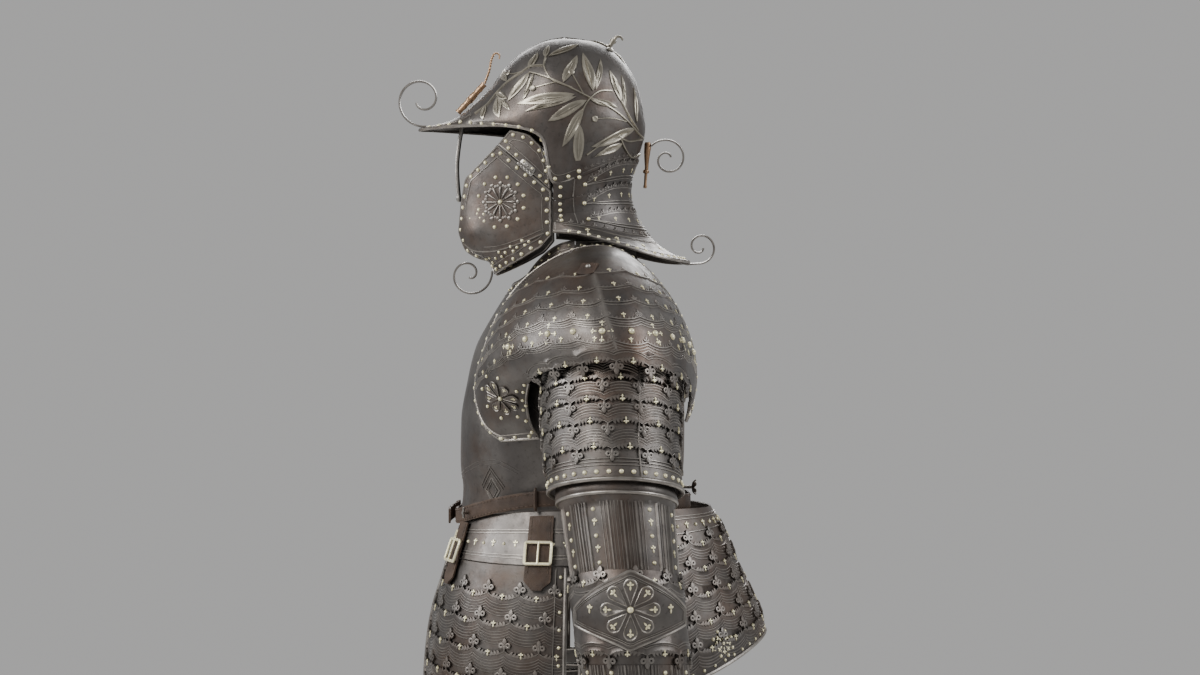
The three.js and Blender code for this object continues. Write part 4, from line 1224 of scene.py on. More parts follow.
def make_fittings():
    for name, body, settings in [
        ("peak_scroll", "suit", ((-235, 227), (38, 9), -80, -430, 14)),
        ("nape_scroll", "suit", ((108.5, 144), (29, 5), 141, -470, 10)),
        (
            "tail_scroll", "suit",
            ((154, 21), (24, 5), -100, 440, 12, 0.0, [(124, -0.5), (136, -3.6)]),
        ),
        ("chin_scroll", "cheek_left", ((-168, -18), (32, 4), 8, -455, 8, 20.0)),
    ]:
        bag = Bag()
        ribbon(bag, *settings)
        piece(name.replace("scroll", "ribbon"), bag, STEEL, body, "dark_steel", name)
    bar = Bag()
    line = curve([(0, -178, 192), (0, -183, 165), (0, -186, 130), (0, -183, 84)], 40)
    tube(bar, line, np.r_[2.6, np.full(36, 3.0), 3.4, 4.2, 2.2], 12, worn=0.5, squash=0.62)
    piece("face_bar", bar, BRIGHT, "suit", "bright_steel", "nasal_bar")
    clamp = Bag()
    line = curve([(0, -185, 209), (0, -166, 229), (0, -148, 249)], 31)
    beads = 4.1 + 0.6 * (np.arange(31) % 6 < 2) + 0.9 * (np.abs(np.arange(31) - 15) < 3)
    tube(clamp, line, beads, 16, worn=0.6)
    piece("bar_clamp", clamp, COPPER, "suit", "copper", "nasal_clamp")
    rod = Bag()
    line = curve(
        [
            (0, -147.5, 249.8), (0, -141, 268), (0, -138, 283), (0, -133, 292), (0, -127, 290),
            (0, -127, 284),
        ],
        90,
    )
    swell = np.where(
        np.arange(90) < 50, 1.7 + 0.35 * np.sin(np.arange(90) * 1.3), np.linspace(2.0, 1.1, 90),
    )
    tube(rod, line, swell, 10, worn=0.7)
    piece("bar_screw", rod, COPPER, "suit", "copper", "nasal_rod")
    holder = Bag()
    lathe(holder, HOLDER, HOLDER_AT, HOLDER_LEAN)
    lathe(holder, HOLDER_RING, HOLDER_AT, HOLDER_LEAN)
    tube(
        holder, curve([(0, 79, 128), (0, 81, 146), (0, 84, 160), (0, 83, 168)], 40),
        np.linspace(2.6, 0.9, 40), 10,
    )
    piece("plume_tube", holder, COPPER, "suit", "copper", "plume_holder")
    finial = Bag()
    lathe(finial, FINIAL, (0, 26, 299.4), (0, 0.548, 0.836))
    skin = skull_skin()
    tongue = mound(lens(31, 10, 3), [(1, -0.5), (1, 1.3), (0.6, 2.6)], 3.4)
    place(finial, skin, tongue, [SKULL_REAR] * 5, [1.55] * 5, 1, 36 + np.arange(5) * 72)
    tube(
        finial, curve([(0, 33, 310), (0, 37, 315), (0, 43, 315), (0, 46, 310)], 20),
        np.linspace(2.6, 1.2, 20), 8, worn=0.6,
    )
    piece("crown_knob", finial, GILT_STEEL, "suit", "bright_steel", "crown_finial")


# ---- Torso ----------------------------------------------------------------------------------

TORSO_SQUARE, TORSO_MIDDLE_Y, MEDIAL_RIDGE = 2.3, -20.0, 5.0
CHEST = (0, -20, -200)
TORSO = [
    (0, -72, 66, 74), (-20, -92, 84, 102), (-45, -112, 100, 132), (-80, -134, 118, 146),
    (-120, -155, 128, 150), (-170, -167, 131, 152), (-220, -175, 132, 150), (-280, -176, 131, 143),
    (-318, -172, 126, 137), (-352, -176, 133, 137),
]
TORSO_TURNS = [0, 8, 16, 24, 32, 39, 46, 51, 56, 61, 66, 71.5, 77, 83, 89.7]
MEDIAL_COLUMN = 14
# Lines beside the median ridge: columns away from it, rows, gaps between the lines and height.
TORSO_LINES = [
    ([0.3, 2.2, 4.6, 7.4, 9.6], [13.6, 13.1, 12.8, 12.7, 12.8], (0.0, -0.28), 0.5),
    ([6.2, 7.2, 8.6, 10.6, 13.6], [0.9, 3.2, 4.4, 5.2, 5.6], (0.0, 0.4), 0.6),
]
TORSO_BADGE = [  # chains of corners round a point low on each side of the breast, and line widths
    ([(0, 17), (13, 0), (0, -17), (-13, 0), (0, 17)], 1.9),
    ([(0, 11), (8, 0), (0, -11), (-8, 0), (0, 11)], 1.0),
    ([(-19, 2), (0, 26), (19, 2)], 0.9),
    ([(-21, 6), (0, 32), (21, 6)], 0.9),
]
BREAST_TOP = [
    (0, -33), (20, -27), (36, -15), (48, -17), (57, -50), (67, -105), (78, -140), (90, -150),
]
BACK_TOP = [(0, -18), (30, -12), (48, -17), (57, -60), (67, -110), (78, -142), (90, -150)]
GORGET = [(-94, 62, 74, -30, 26, 32), (-98, 68, 80, -52, -4, 0), (-118, 88, 102, -88, -34, -40)]


def torso_points(turn, z):
    front, back, half = columns_at(TORSO, z)
    p = ring(front, back, half, z, z, z, turn, TORSO_MIDDLE_Y, TORSO_SQUARE)
    away = np.abs((turn + 180) % 360 - 180)
    p[..., 1] -= MEDIAL_RIDGE * bell(away, 14)
    return p


def make_torso():
    turns = np.array([-t for t in TORSO_TURNS[:0:-1]] + TORSO_TURNS)
    steps = np.linspace(0, 4, 60)
    for name, node, top, middle in [
        ("breast_plate", "breastplate", BREAST_TOP, 0),
        ("back_plate", "backplate", BACK_TOP, 180),
    ]:
        highest = eased(np.abs(turns), [r[0] for r in top], [r[1] for r in top])
        lowest = mixed(-336, -350, np.cos(turns * RAD) ** 2)
        share = np.linspace(0, 1, 17)[:, None]
        z = mixed(highest, lowest, share)
        skin = Skin(torso_points(turns + middle + 0 * z, z), CHEST)
        plate = Plate(skin)
        us, vs = np.linspace(0, skin.wide, 100), np.linspace(0, skin.tall, 50)
        plate.shell(us, vs)
        plate.rim(us, 0.0, 3.0)
        for d in (0.55, 0.75):
            plate.line(us, d, 0.9, 0.7)
        plate.studs(us, 0.36, 19, 2.2)
        for side in (-1, 1):
            for across, rows, gaps, height in TORSO_LINES:
                u = MEDIAL_COLUMN + side * np.interp(steps, range(5), across)
                for gap in gaps:
                    width = 0.8 if gaps[-1] < 0 else 0.9
                    plate.line(u, np.interp(steps, range(5), rows) + gap, width, height, worn=0.25)
        if not middle:
            u0, v0 = (float(x[0]) for x in skin.find(-131, -312))
            for u1, way in ((u0, 1), (skin.wide - u0, -1)):
                for corners, width in TORSO_BADGE:
                    x, y = along_chain(corners, np.linspace(0, 1, 41)).T
                    plate.line(
                        *skin.offset(u1 + 0 * x, v0 + 0 * x, x * way, y, 4), width, 1.0,
                        worn=0.45,
                    )
        if middle:
            plate.cut(STEEL_FLEUR, [14], [15.2], 0.8)
            foot, _, _, n = skin.frame(float(MEDIAL_COLUMN), 14.3)
            tube(plate.steel, foot + n * np.linspace(-0.5, 18, 8)[:, None], 2.3, 10)
            tube(
                plate.steel, foot + n * np.linspace(16, 20, 6)[:, None],
                [2.5, 3.6, 3.9, 3.6, 2.6, 1.0], 12,
            )
            t = np.linspace(0, 1, 10)[:, None]
            for turn in np.arange(0, 360, 60) * RAD:
                out = np.array([math.sin(turn), 0, math.cos(turn)])
                line = foot + n * (17 + 5 * t * t) + out * (2 + 8 * t)
                tube(
                    plate.steel, line, 1.0 + 0.6 * np.sin(math.pi * t[:, 0] ** 1.4), 8, worn=0.5,
                    squash=2.3,
                )
            plate.rim(us, skin.tall - 0.02, 2.2)
        plate.finish(name, name + "_studs", node)
    for name, low, high in [("front", -89.6, 89.6), ("back", 90.4, 269.6)]:
        t = np.linspace(low, high, 21)
        skin = Skin([ring(*row, t, TORSO_MIDDLE_Y) for row in GORGET], (0, -20, -60))
        plate = Plate(skin)
        us = np.linspace(0, 20, 80)
        plate.shell(us, np.linspace(0, 2, 24))
        plate.rim(us, 0.01, 1.9)
        plate.line(us, 0.32, 0.8, 0.7)
        plate.line(us, 1.0, 1.2, 1.0)
        plate.studs(us, 0.17, 15, 1.9)
        plate.finish(f"collar_{name}", f"collar_{name}_studs", f"gorget_{name}")


def stitch_template(x, y):
    return mound([(-x, -y), (x, -y), (x, y), (-x, y)], [(1, -0.3), (1, 0.5)], 0.6)


def make_belt():
    turns = np.arange(96) * 360 / 96
    p = ring(-187, 140, 144, -343, -309, -322, turns, TORSO_MIDDLE_Y, TORSO_SQUARE)
    rows = [np.concatenate([p, p[:1]]) - np.array([0, 0, d]) for d in (0, 5, 10.5, 16, 21)]
    skin = Skin(rows, (0, -20, -335), closed=True)
    us = np.arange(192) / 2
    bag, pins = Bag(), Bag()
    v = np.linspace(0, 4, 11)
    crown = 0.5 - 0.9 * np.abs(v - 2) ** 3 / 8
    worn = 0.15 + 0.5 * (np.abs(v - 2) > 1.7)[:, None]
    shell(bag, skin, us, v, crown[:, None], LEATHER - 0.6, worn, closed=True)
    stitch = stitch_template(1.9, 0.5)
    for row in (0.55, 3.45):
        u, v = spaced(skin, np.linspace(0, 95.9, 192), row, 6.2)
        place(bag, skin, stitch, u, v, 1, 0, 0.35)
    for u0 in (92.5, 20.0):
        loop = np.linspace(-0.9, 4.9, 30)
        line, _, _, n = skin.frame(u0 + 0 * loop, np.clip(loop, 0, 4))
        bulge = 3.4 * np.sqrt(np.maximum(1 - ((loop - 2) / 2.95) ** 2, 0.02))
        tube(bag, line + n * bulge[:, None], 2.2, 10, worn=0.4, squash=2.6)
    end = curve([(-26, -184, -346), (-14, -192.5, -350), (2, -196, -353), (18, -195, -354)], 24)
    strap = [(0, 10.2), (1.6, 9.6), (1.6, -9.6), (0, -10.2), (-1.4, -9.6), (-1.4, 9.6)]
    ahead = np.gradient(end, axis=0)
    outward = np.cross(ahead / norm(ahead), UP)
    rings = [end + outward * x + UP * z for x, z in strap]
    count, k = len(end), len(strap)
    bag.add(np.stack(rings, 1).reshape(-1, 3), tube_faces(count, k), 0.4)
    pin_u = 96 * (360 - 32) / 360
    n, start = skin.frame(pin_u, 2.0)[3], skin.at(pin_u, 2.0)
    tube(pins, start + np.linspace(2, 12, 10)[:, None] * n, 2.0, 10)
    pin_u = 96 * 32 / 360
    n, start = skin.frame(pin_u, 2.0)[3], skin.at(pin_u, 2.0)
    tube(pins, start + np.linspace(1, 10, 8)[:, None] * n, 2.4, 10)
    tube(pins, start + n * 8 + UP * np.linspace(-7, 7, 9)[:, None], 1.7, 8)
    piece("waist_belt", bag, LEATHER_LOOK, "suit", "leather", "belt")
    piece("waist_pins", pins, BRIGHT, "suit", "bright_steel")


# ---- Skirts ---------------------------------------------------------------------------------

HIPS = (0, -20, -450)
SKIRT_FRONT = [
    (-336, -173, 135, 14), (-352, -177, 139, 14), (-375, -184, 152, 6), (-405, -194, 167, -3),
    (-440, -205, 177, -10), (-475, -216, 186, -13), (-510, -223, 192, -14), (-545, -227, 197, -14),
    (-580, -229, 200, -14), (-620, -229, 203, -14),
]
CULET = [
    (168, 141, -340, -336), (182, 149, -362, -372), (196, 165, -393, -412), (209, 178, -425, -452),
    (225, 188, -458, -496), (238, 197, -486, -540), (246, 204, -514, -590),
]


def skirt_points(turn, level):
    front, half, rise = columns_at(SKIRT_FRONT, level)
    return ring(front, 0.0, half, level, level + rise, 0.0, turn, TORSO_MIDDLE_Y, TORSO_SQUARE)


def lame(plate, us, edge, far, period, phase=0.5, depth=7.0, out=(1.6, -1.2),
         lines=(8.5, 12.4, 16.3, 20.2), fleur=1.0):
    """One overlapping plate. Its cut edge hangs in arcs between steel fleurs, with teeth and a
    brass fleur in each arc and raised lines that follow the arcs. edge and far are rows."""
    skin = plate.skin
    dense = np.linspace(us[0], us[-1], 400)
    s = distances(skin.at(dense, edge))
    step = period / 10
    spots = np.arange(-10, s[-1] / step + 10) * step + phase * period
    spots = np.r_[0, spots[(spots > 0.8) & (spots < s[-1] - 0.8)], s[-1]]
    us = np.interp(spots, s, dense)
    edge, far, s = edge + 0 * us, far + 0 * us, spots
    per_row = skin.per_row(us, edge)
    way = np.sign(np.mean(far - edge))
    reach = np.abs(far - edge) * per_row

    def arc(at):
        return depth * np.abs(np.sin(math.pi * (at / period - phase))) ** 0.75

    profile = [(0, 0.1), (0.5, 0.9), (1.7, 0.9), (2.5, 0.1)]
    for line in lines:
        profile += [(line - 1.3, 0), (line - 0.55, 0.75), (line + 0.55, 0.75), (line + 1.3, 0)]
    profile.sort()
    rows_v, rows_h, rows_b = [], [], []
    for d, h in profile:
        away = np.minimum(d + arc(s), reach - 1.5)
        rows_v.append(edge + way * away / per_row)
        base = mixed(out[0], out[1], away / reach)
        rows_b.append(base)
        rows_h.append(np.full(len(us), h))
    rows_v.append(far)
    rows_b.append(out[1] + 0 * us)
    rows_h.append(0 * us)
    v, base, h = np.array(rows_v), np.array(rows_b), np.array(rows_h)
    u = np.broadcast_to(us, v.shape)
    # The raised lines are brighter, by height: wear with painted highlight.
    plate.shell(u, v, base + h, PLATE, h * 0.55)
    turn = 0 if way > 0 else 180
    cusps = (np.arange(-1, int(s[-1] / period) + 2) + phase) * period
    cusps = cusps[(cusps > 4) & (cusps < s[-1] - 4)]
    at_u, at_v = np.interp(cusps, s, us), np.interp(cusps, s, edge)
    plate.cut(STEEL_FLEUR, at_u, at_v, fleur, turn, out[0] + 0.4)
    middles = (np.arange(-1, int(s[-1] / period) + 2) + phase + 0.5) * period
    middles = middles[(middles > 5) & (middles < s[-1] - 5)]
    at_u = np.interp(middles, s, us)
    at_v = np.interp(middles, s, edge) + way * (depth - 1.0) / np.interp(middles, s, per_row)
    plate.inlay(BRASS_FLEUR, at_u, at_v, 0.99, turn, out[0] + 0.6)
    for away in (-18, -13.5, -9, 9, 13.5, 18):
        spots = cusps + away * period / 47
        spots = spots[(spots > 2) & (spots < s[-1] - 2)]
        at_u = np.interp(spots, s, us)
        at_v = np.interp(spots, s, edge) + way * arc(spots) / np.interp(spots, s, per_row)
        lean = -26 * np.sign(away) * (1 if way > 0 else -1)
        plate.cut(TOOTH, at_u, at_v, 1.05, turn + lean, out[0] + 0.1)
    return s


def make_skirts():
    t = np.linspace(-89.5, 89.5, 61)
    levels = np.linspace(-352, -404.5, 7)
    fauld = Skin([skirt_points(t, z + 0 * t) for z in levels], HIPS)
    plate = Plate(fauld)
    us = np.linspace(0, 60, 150)
    plate.shell(us, np.linspace(0, 6, 30), 0.3)
    for v in (2.0, 2.35, 4.9, 5.25):
        plate.line(us, v, 1.1, 1.0, 0.3)
    u, v = spaced(fauld, us, 3.6, 17)
    plate.inlay(STUD, u[::2], v[::2], 2.5, lift=0.3)
    plate.inlay(BRASS_FLEUR, u[1::2], v[1::2], 1.15, lift=0.4)
    plate.finish("fauld_plate", "fauld_studs", "fauld")

    t = np.linspace(3, 88, 30)
    levels = np.linspace(-406, -604, 13)
    tasset = Skin([skirt_points(t, z + 0 * t) for z in levels], HIPS)
    plate = Plate(tasset)
    us = np.linspace(0, 29, 120)

    def row(z):
        return (levels[0] - z) / 198 * 12

    edges = [-437, -470, -506, -544, -576]
    plate.shell(us, np.linspace(0, row(-446), 8), np.linspace(0.2, -1.3, 8)[:, None])
    for k, z in enumerate(edges):
        far = edges[k + 1] - 7 if k + 1 < len(edges) else -603
        lame(plate, us, row(z), row(far), 47, 0.35 + 0.06 * k,
             lines=(8.5, 12.4, 16.3, 20.2, 24.1) if k < 4 else (8.5, 12.4))
    down = np.linspace(0.1, 11.9, 60)
    for u0, radius in ((28.85, 3.0), (0.2, 2.4)):
        plate.bar(u0, down, radius, worn=0.8, depth=-1.2)
    plate.line(27.7 + 0 * down, down, 1.1, 1.4, 1.2)
    plate.studs(28.3 + 0 * down, down, 22, 2.4, lift=1.4)
    plate.rim(us, 11.95, 2.4)
    plate.studs(us, row(-596), 19, 2.4, lift=-0.8)
    plate.finish_pair("tasset_plate", "tasset_studs", "tasset")

    t = np.linspace(91, 269, 41)
    rows = [
        ring(0.0, back, half, 0.0, side_z, back_z, t, TORSO_MIDDLE_Y)
        for back, half, back_z, side_z in CULET
    ]
    culet = Skin(rows, HIPS)
    plate = Plate(culet)
    us = np.linspace(0, 40, 190)
    plate.shell(us, np.linspace(0, 1.7, 14), np.linspace(0.3, -1.2, 14)[:, None])
    for v in (0.35, 0.5, 1.1):
        plate.line(us, v, 1.1, 1.0, 0.2)
    u, v = spaced(culet, us, 0.8, 17)
    plate.inlay(STUD, u[::2], v[::2], 2.5, lift=0.2)
    plate.inlay(BRASS_FLEUR, u[1::2], v[1::2], 1.1, lift=0.3)
    edges = [1.45, 2.35, 3.25, 4.15, 5.05]
    for k, v in enumerate(edges):
        far = edges[k + 1] + 0.22 if k + 1 < len(edges) else 5.98
        lame(plate, us, v, far, 46, 0.5 + 0.04 * k)
    plate.rim(us, 5.96, 2.4)
    plate.studs(us, 5.78, 19, 2.4, lift=-0.8)
    down = np.linspace(0.1, 5.9, 60)
    for u0 in (0.15, 39.85):
        plate.bar(u0, down, 2.6, worn=0.8, depth=-1.0)
    for u0 in (1.0, 39.0):
        plate.studs(u0 + 0 * down, down, 24, 2.2, lift=1.2)
    for u0 in (11, 29):
        turns = np.arange(8) * 45
        aside, above = -9 * np.sin(turns * RAD), 9 * np.cos(turns * RAD)
        uu, vv = culet.offset(u0 + 0 * turns, 5.2 + 0 * turns, aside, above, 3)
        plate.inlay(BRASS_FLEUR, uu, vv, 1.1, turns, 0.4)
        plate.inlay(STUD, [u0], [5.2], 2.8, lift=0.4)
        plate.stud_ring(u0, 5.2, 8, 17.5, 2.7)
    plate.finish("culet_plate", "culet_studs", "culet")


STRAP_HALF_TURN = 5.5


def make_straps():
    for side, turn, top, bottom, buckle in [
        ("side", 77, -358, -432, -394),
        ("front", 24, -362, -440, -398),
    ]:
        t = np.linspace(turn - STRAP_HALF_TURN, turn + STRAP_HALF_TURN, 5)
        levels = np.linspace(top, bottom, 13)
        base = Skin([skirt_points(t, z + 0 * t) for z in levels], HIPS)
        leather, brass = Bag(), Bag()
        us, vs = np.linspace(0, 4, 13), np.linspace(0, 12, 60)
        u, v = np.meshgrid(us, vs)
        taper = smooth((v - 10.2) / 1.8)
        u = 2 + (u - 2) * (1 - 0.62 * taper)
        buckle_v = 12 * (buckle - top) / (bottom - top)
        lift = 3 + LEATHER - 0.5 * np.abs((u - 2) / 2) ** 4 + 1.4 * bell(v - buckle_v, 0.8)
        shell(leather, base, u, v, lift, -3.2, 0.25 + 0.5 * (np.abs(u - 2) > 1.7))
        stitch = stitch_template(0.5, 1.7)
        for seam in (0.5, 3.5):
            uu, vv = spaced(base, seam, vs[:46], 5.4)
            place(leather, base, stitch, uu, vv, 1, 0, LEATHER + 2.9)
        centre = base.at(2.0, buckle_v)
        _, su, _, n = base.frame(2.0, buckle_v)
        across = su / np.linalg.norm(su)
        n = n / np.linalg.norm(n)
        up = np.cross(n, across)
        up = up if up[2] > 0 else -up
        out = 5 + LEATHER + 1.5
        corners = []
        for cx, cy, a0 in (
            (15.5, 12.5, 0), (-15.5, 12.5, 90), (-15.5, -12.5, 180), (15.5, -12.5, 270),
        ):
            for a in np.arange(0, 91, 22.5):
                angle = (a0 + a) * RAD
                x, y = cx + 2.2 * math.cos(angle), cy + 2.2 * math.sin(angle)
                corners.append(centre + across * x + up * y + n * out)
        tube(brass, corners, 2.1, 8, True, 0.7)
        tongue = [
            centre + up * y + n * (out + 1.6) + across * 0.4 for y in np.linspace(-15.5, 14.5, 14)
        ]
        tube(brass, tongue, np.linspace(1.7, 1.3, 14), 8, worn=0.7)
        pair(f"hip_strap_{side}", leather, LEATHER_LOOK, "leather", f"tasset_strap_{side}")
        pair(f"hip_buckle_{side}", brass, BRASS, "brass", f"tasset_buckle_{side}")


# ---- Arms -----------------------------------------------------------------------------------

PAULDRON = [
    (150, -116, -244, 165, -64, -240), (135, -141, -224, 175, -74, -222),
    (122, -153, -190, 196, -79, -198),
    (118, -153, -160, 228, -77, -176), (118, -143, -124, 266, -70, -160),
    (118, -126, -80, 302, -48, -150),
    (119, -98, -38, 328, -12, -144), (123, -60, -6, 342, 15, -142), (126, -12, 15, 345, 38, -142),
    (126, 34, 14, 338, 64, -146), (126, 74, -11, 320, 88, -152), (122, 106, -48, 292, 111, -160),
    (119, 127, -86, 258, 125, -172), (118, 140, -125, 226, 130, -186),
    (120, 143, -165, 200, 130, -202),
    (128, 137, -200, 184, 127, -218),
]
CURL, CREST_COLUMN = 88, 8.1
ARM_TILT, FOREARM_TILT = 16 * RAD, 8 * RAD
ELBOW_DROP, LEAN_DROP, ARM_LEAN = 259, 60, 0.11
SPAUDLER = [(-66, 87), (-16, 91), (10, 90), (37, 88), (68, 86), (103, 85)]
UPPER_CANNON = [(98, 76), (117, 78), (123, 71), (150, 70), (210, 67)]
ELBOW = [(206, 69.5), (230, 72), (259, 73), (289, 71), (314, 68.5)]
LOWER_CANNON = [(310, 66), (350, 65), (420, 57), (490, 44)]
GAUNTLET = [
    (446, 64, 68, 165), (474, 52, 57, 165), (500, 46, 52, 160), (540, 30, 52, 115),
    (600, 28, 50, 100), (650, 26, 46, 92), (688, 16, 40, 85),
]


def arm_centre(drop):
    below = np.maximum(0, drop - ELBOW_DROP)
    x = 250 + (drop - below) * math.tan(ARM_TILT) + below * math.tan(FOREARM_TILT)
    return np.stack([x, 29 + ARM_LEAN * np.maximum(0, drop - LEAN_DROP), -200.0 - drop], -1)


def arm_points(drop, across, along, turn, lift=0.0):
    drop = np.asarray(drop, float) + 0 * turn
    tilt = np.where(drop < ELBOW_DROP + 20, ARM_TILT, FOREARM_TILT)
    outward = across * np.sin(turn * RAD)
    c = arm_centre(drop)
    return np.stack([c[..., 0] + outward * np.cos(tilt), c[..., 1] - along * np.cos(turn * RAD),
                     c[..., 2] + outward * np.sin(tilt) + lift], -1)


def arm_skin(table, turns, rows, closed=False):
    """A surface round the arm, and a function from a drop below the shoulder to its row."""
    drops = np.linspace(table[0][0], table[-1][0], rows)
    grid = []
    for d in drops:
        radius = columns_at(table, np.array(d, float))[0]
        grid.append(arm_points(d, radius, radius, turns))
    middle = arm_centre(np.array((drops[0] + drops[-1]) / 2))

    def row(drop):
        return (drop - drops[0]) / (drops[-1] - drops[0]) * (rows - 1)

    return Skin(grid, middle, closed), row


BANDS = [
    ([5.0, 6, 7, 8, 9, 10, 11.2], [0.0, 0.22, 0.38, 0.47, 0.43, 0.33, 0.0]),
    ([4.3, 5, 6, 7, 8, 9, 10, 11, 11.7], [0.0, 0.2, 0.41, 0.52, 0.575, 0.54, 0.46, 0.24, 0.0]),
    ([3.6, 4.5, 5.5, 7, 8, 9, 10, 11, 12.2], [0.0, 0.24, 0.46, 0.62, 0.665, 0.64, 0.57, 0.42, 0.0]),
    (
        [2.9, 4, 5, 7, 8, 9, 10, 11, 12, 12.9],
        [0.0, 0.3, 0.52, 0.72, 0.755, 0.74, 0.68, 0.57, 0.34, 0.0],
    ),
    (
        [2.4, 3.5, 5, 7, 8, 9, 10, 11, 12, 13.6],
        [0.04, 0.42, 0.72, 0.86, 0.885, 0.875, 0.84, 0.77, 0.64, 0.3],
    ),
]


BAND_GAPS = (0.0, 3.7, 7.4, 11.1)


def make_pauldrons():
    table = np.array(PAULDRON, float)
    share = np.linspace(0, 1, 13)[:, None]
    angle = CURL * share * RAD
    out, over = np.sin(angle), 1 - np.cos(angle)
    grid = np.stack([mixed(table[:, 0], table[:, 3], out), mixed(table[:, 1], table[:, 4], over),
                     mixed(table[:, 2], table[:, 5], over)], -1)
    skin = Skin(grid, (150, 0, -180))
    full = 12.0
    plate = Plate(skin)
    us, vs = np.linspace(0, 15, 121), np.linspace(0, full, 61)
    u, v = np.meshgrid(us, vs)
    crest = bell(u - CREST_COLUMN, 0.09) * smooth((v - 4.6) / 1.5)
    # The raised crest is brighter: wear with painted highlight.
    plate.shell(u, v, crest, worn=0.7 * crest)
    plate.rim(us, 0.03, 2.3)
    per = skin.per_row(us, 0.4 + 0 * us)
    plate.line(us, 12.0 / per, 1.1, 1.0)
    plate.line(us, 14.0 / per, 0.8, 0.7)
    plate.studs(us, 6.6 / per, 17.3, 2.7)
    down = np.linspace(0.1, full - 0.1, 50)
    for u0 in (0.05, 14.95):
        plate.bar(u0, down, 2.3)
    for u0, way in ((0, 1), (15, -1)):
        per_u = norm(skin.frame(u0 + 0 * down, down)[1])[:, 0]
        plate.line(u0 + way * 12.0 / per_u, down, 1.1, 1.0)
        plate.studs(u0 + way * 6.6 / per_u, down, 17, 2.7)
    for low, high in ((0.1, 3.6), (13.4, 14.9)):
        path = np.linspace(low, high, 40)
        plate.rim(path, full - 0.04, 2.0)
        plate.studs(path, full - 0.55, 20, 2.6)
    u0, v0 = skin.find(-116, -185)
    plate.rosette(u0, v0, 8, 27, 0.8, 3.2, 0.8)
    plate.stud_ring(u0, v0, 8, 35, 2.6)
    for k, (bu, bv) in enumerate(BANDS):
        us = np.linspace(bu[0] + 0.15, bu[-1] - 0.15, 150)
        v = np.array(eased(us, bu, bv)) * full
        s = distances(skin.at(us, v))
        per = skin.per_row(us, v)
        period, centre = 46, np.interp(CREST_COLUMN, us, s)
        wave = 5.5 * np.abs(np.sin(math.pi * (s - centre) / period)) ** 0.8
        for line in range(4 if k > 2 else 2 if k else 1):
            width, height = (1.1, 0.9) if line else (1.4, 1.4)
            plate.line(us, v + (wave + BAND_GAPS[line]) / per, width, height, worn=0.6)
        cusps = centre + period * np.arange(-8, 9)
        cusps = cusps[(cusps > 3) & (cusps < s[-1] - 3)]
        cu = np.interp(cusps, s, us)
        fleur, size = (STEEL_FLEUR, 0.72) if k == 3 else (SMALL_FLEUR, 1.1)
        plate.cut(fleur, cu, np.interp(cu, us, v), size)
        for away in (-17, -12, -7, 7, 12, 17):
            spots = cusps + away
            spots = spots[(spots > 2) & (spots < s[-1] - 2)]
            cu = np.interp(spots, s, us)
            at_v = np.interp(cu, us, v + (wave - 1.5) / per)
            plate.cut(TOOTH, cu, at_v, 0.75, -18 * np.sign(away))
        middles = centre + period * (np.arange(-8, 8) + 0.5)
        middles = middles[(middles > 5) & (middles < s[-1] - 5)]
        cu = np.interp(middles, s, us)
        plate.inlay(BRASS_FLEUR, cu, np.interp(cu, us, v + (wave - 6) / per), 0.9, lift=0.2)
    # The broad band with large studs, each in a cross of small fleurs.
    us = np.linspace(4.4, 13.2, 200)
    low, high = np.array(eased(us, *BANDS[3])), np.array(eased(us, *BANDS[4]))
    v = mixed(low, high, 0.62) * full
    u1, v1 = spaced(skin, us, v, 37)
    plate.inlay(STUD, u1, v1, 4.3)
    for turn in range(0, 360, 90):
        aside, above = -10 * math.sin(turn * RAD), 10 * math.cos(turn * RAD)
        uu, vv = skin.offset(u1[::2], v1[::2], aside + 0 * u1[::2], above + 0 * u1[::2], 3)
        plate.inlay(BRASS_FLEUR, uu, vv, 0.95, turn)
    # The fringe of the arm opening.
    us = np.linspace(3.95, 13.3, 170)
    lame(plate, us, full - 0.02, full - 1.35, 44, 0.28, 5.5, (1.4, 0.5), (9.5, 12.5))
    # The leather tab over the pin of the shoulder strap.
    leather, pin = Bag(), Bag()
    u0, v0 = skin.find([-1.0], [-17.0])
    tab = [
        (-12, -14), (-4, -17), (4, -17), (10, -13), (11, 2), (13, 9), (9, 12), (6, 9), (3, 13),
        (0, 9), (-4, 13), (-6, 9), (-10, 12), (-13, 8), (-11, 2),
    ]
    tab = mound(tab, [(1, 0.1), (1, 1.7), (0.9, 2.2), (0.4, 2.0)], 2.0)
    place(leather, skin, dulled(tab, 0.12), u0, v0)
    place(pin, skin, STUD, u0, v0, 3.6, lift=2.6)
    plate.finish_pair("shoulder_plate", "shoulder_studs", "pauldron")
    pair("shoulder_tab", leather, LEATHER_LOOK, "leather", None)
    pair("shoulder_pin", pin, BRIGHT, "bright_steel", None)


FLUTE_COLUMNS = [-43, 26, 63, 123, 160, 220, 257, 317]


def fluted(plate, row, low, high):
    """Raised lines along a tube in bundles between columns of studs and small fleurs."""
    v = np.linspace(row(low), row(high), 9)

    def to_u(turn):
        return (turn + 90) / 7.5

    for turn, following in zip(FLUTE_COLUMNS, FLUTE_COLUMNS[1:]):
        gap = following - turn
        count = max(4, int(round((gap - 17) / 3.4)))
        for offset in np.linspace(8.5, gap - 8.5, count):
            wide = abs(offset - gap / 2) < 3 or abs(abs(offset - gap / 2) - gap * 0.26) < 2
            width, height = (2.4, 1.9) if wide else (0.9, 0.8)
            plate.line(to_u(turn + offset) + 0 * v, v, width, height, worn=0.5)
        spots = np.linspace(low + 9, high - 9, 5)
        plate.inlay(STUD, to_u(turn) + 0 * spots[::2], row(spots[::2]), 2.8)
        plate.inlay(BRASS_FLEUR, to_u(turn) + 0 * spots[1::2], row(spots[1::2]), 1.1, 0)


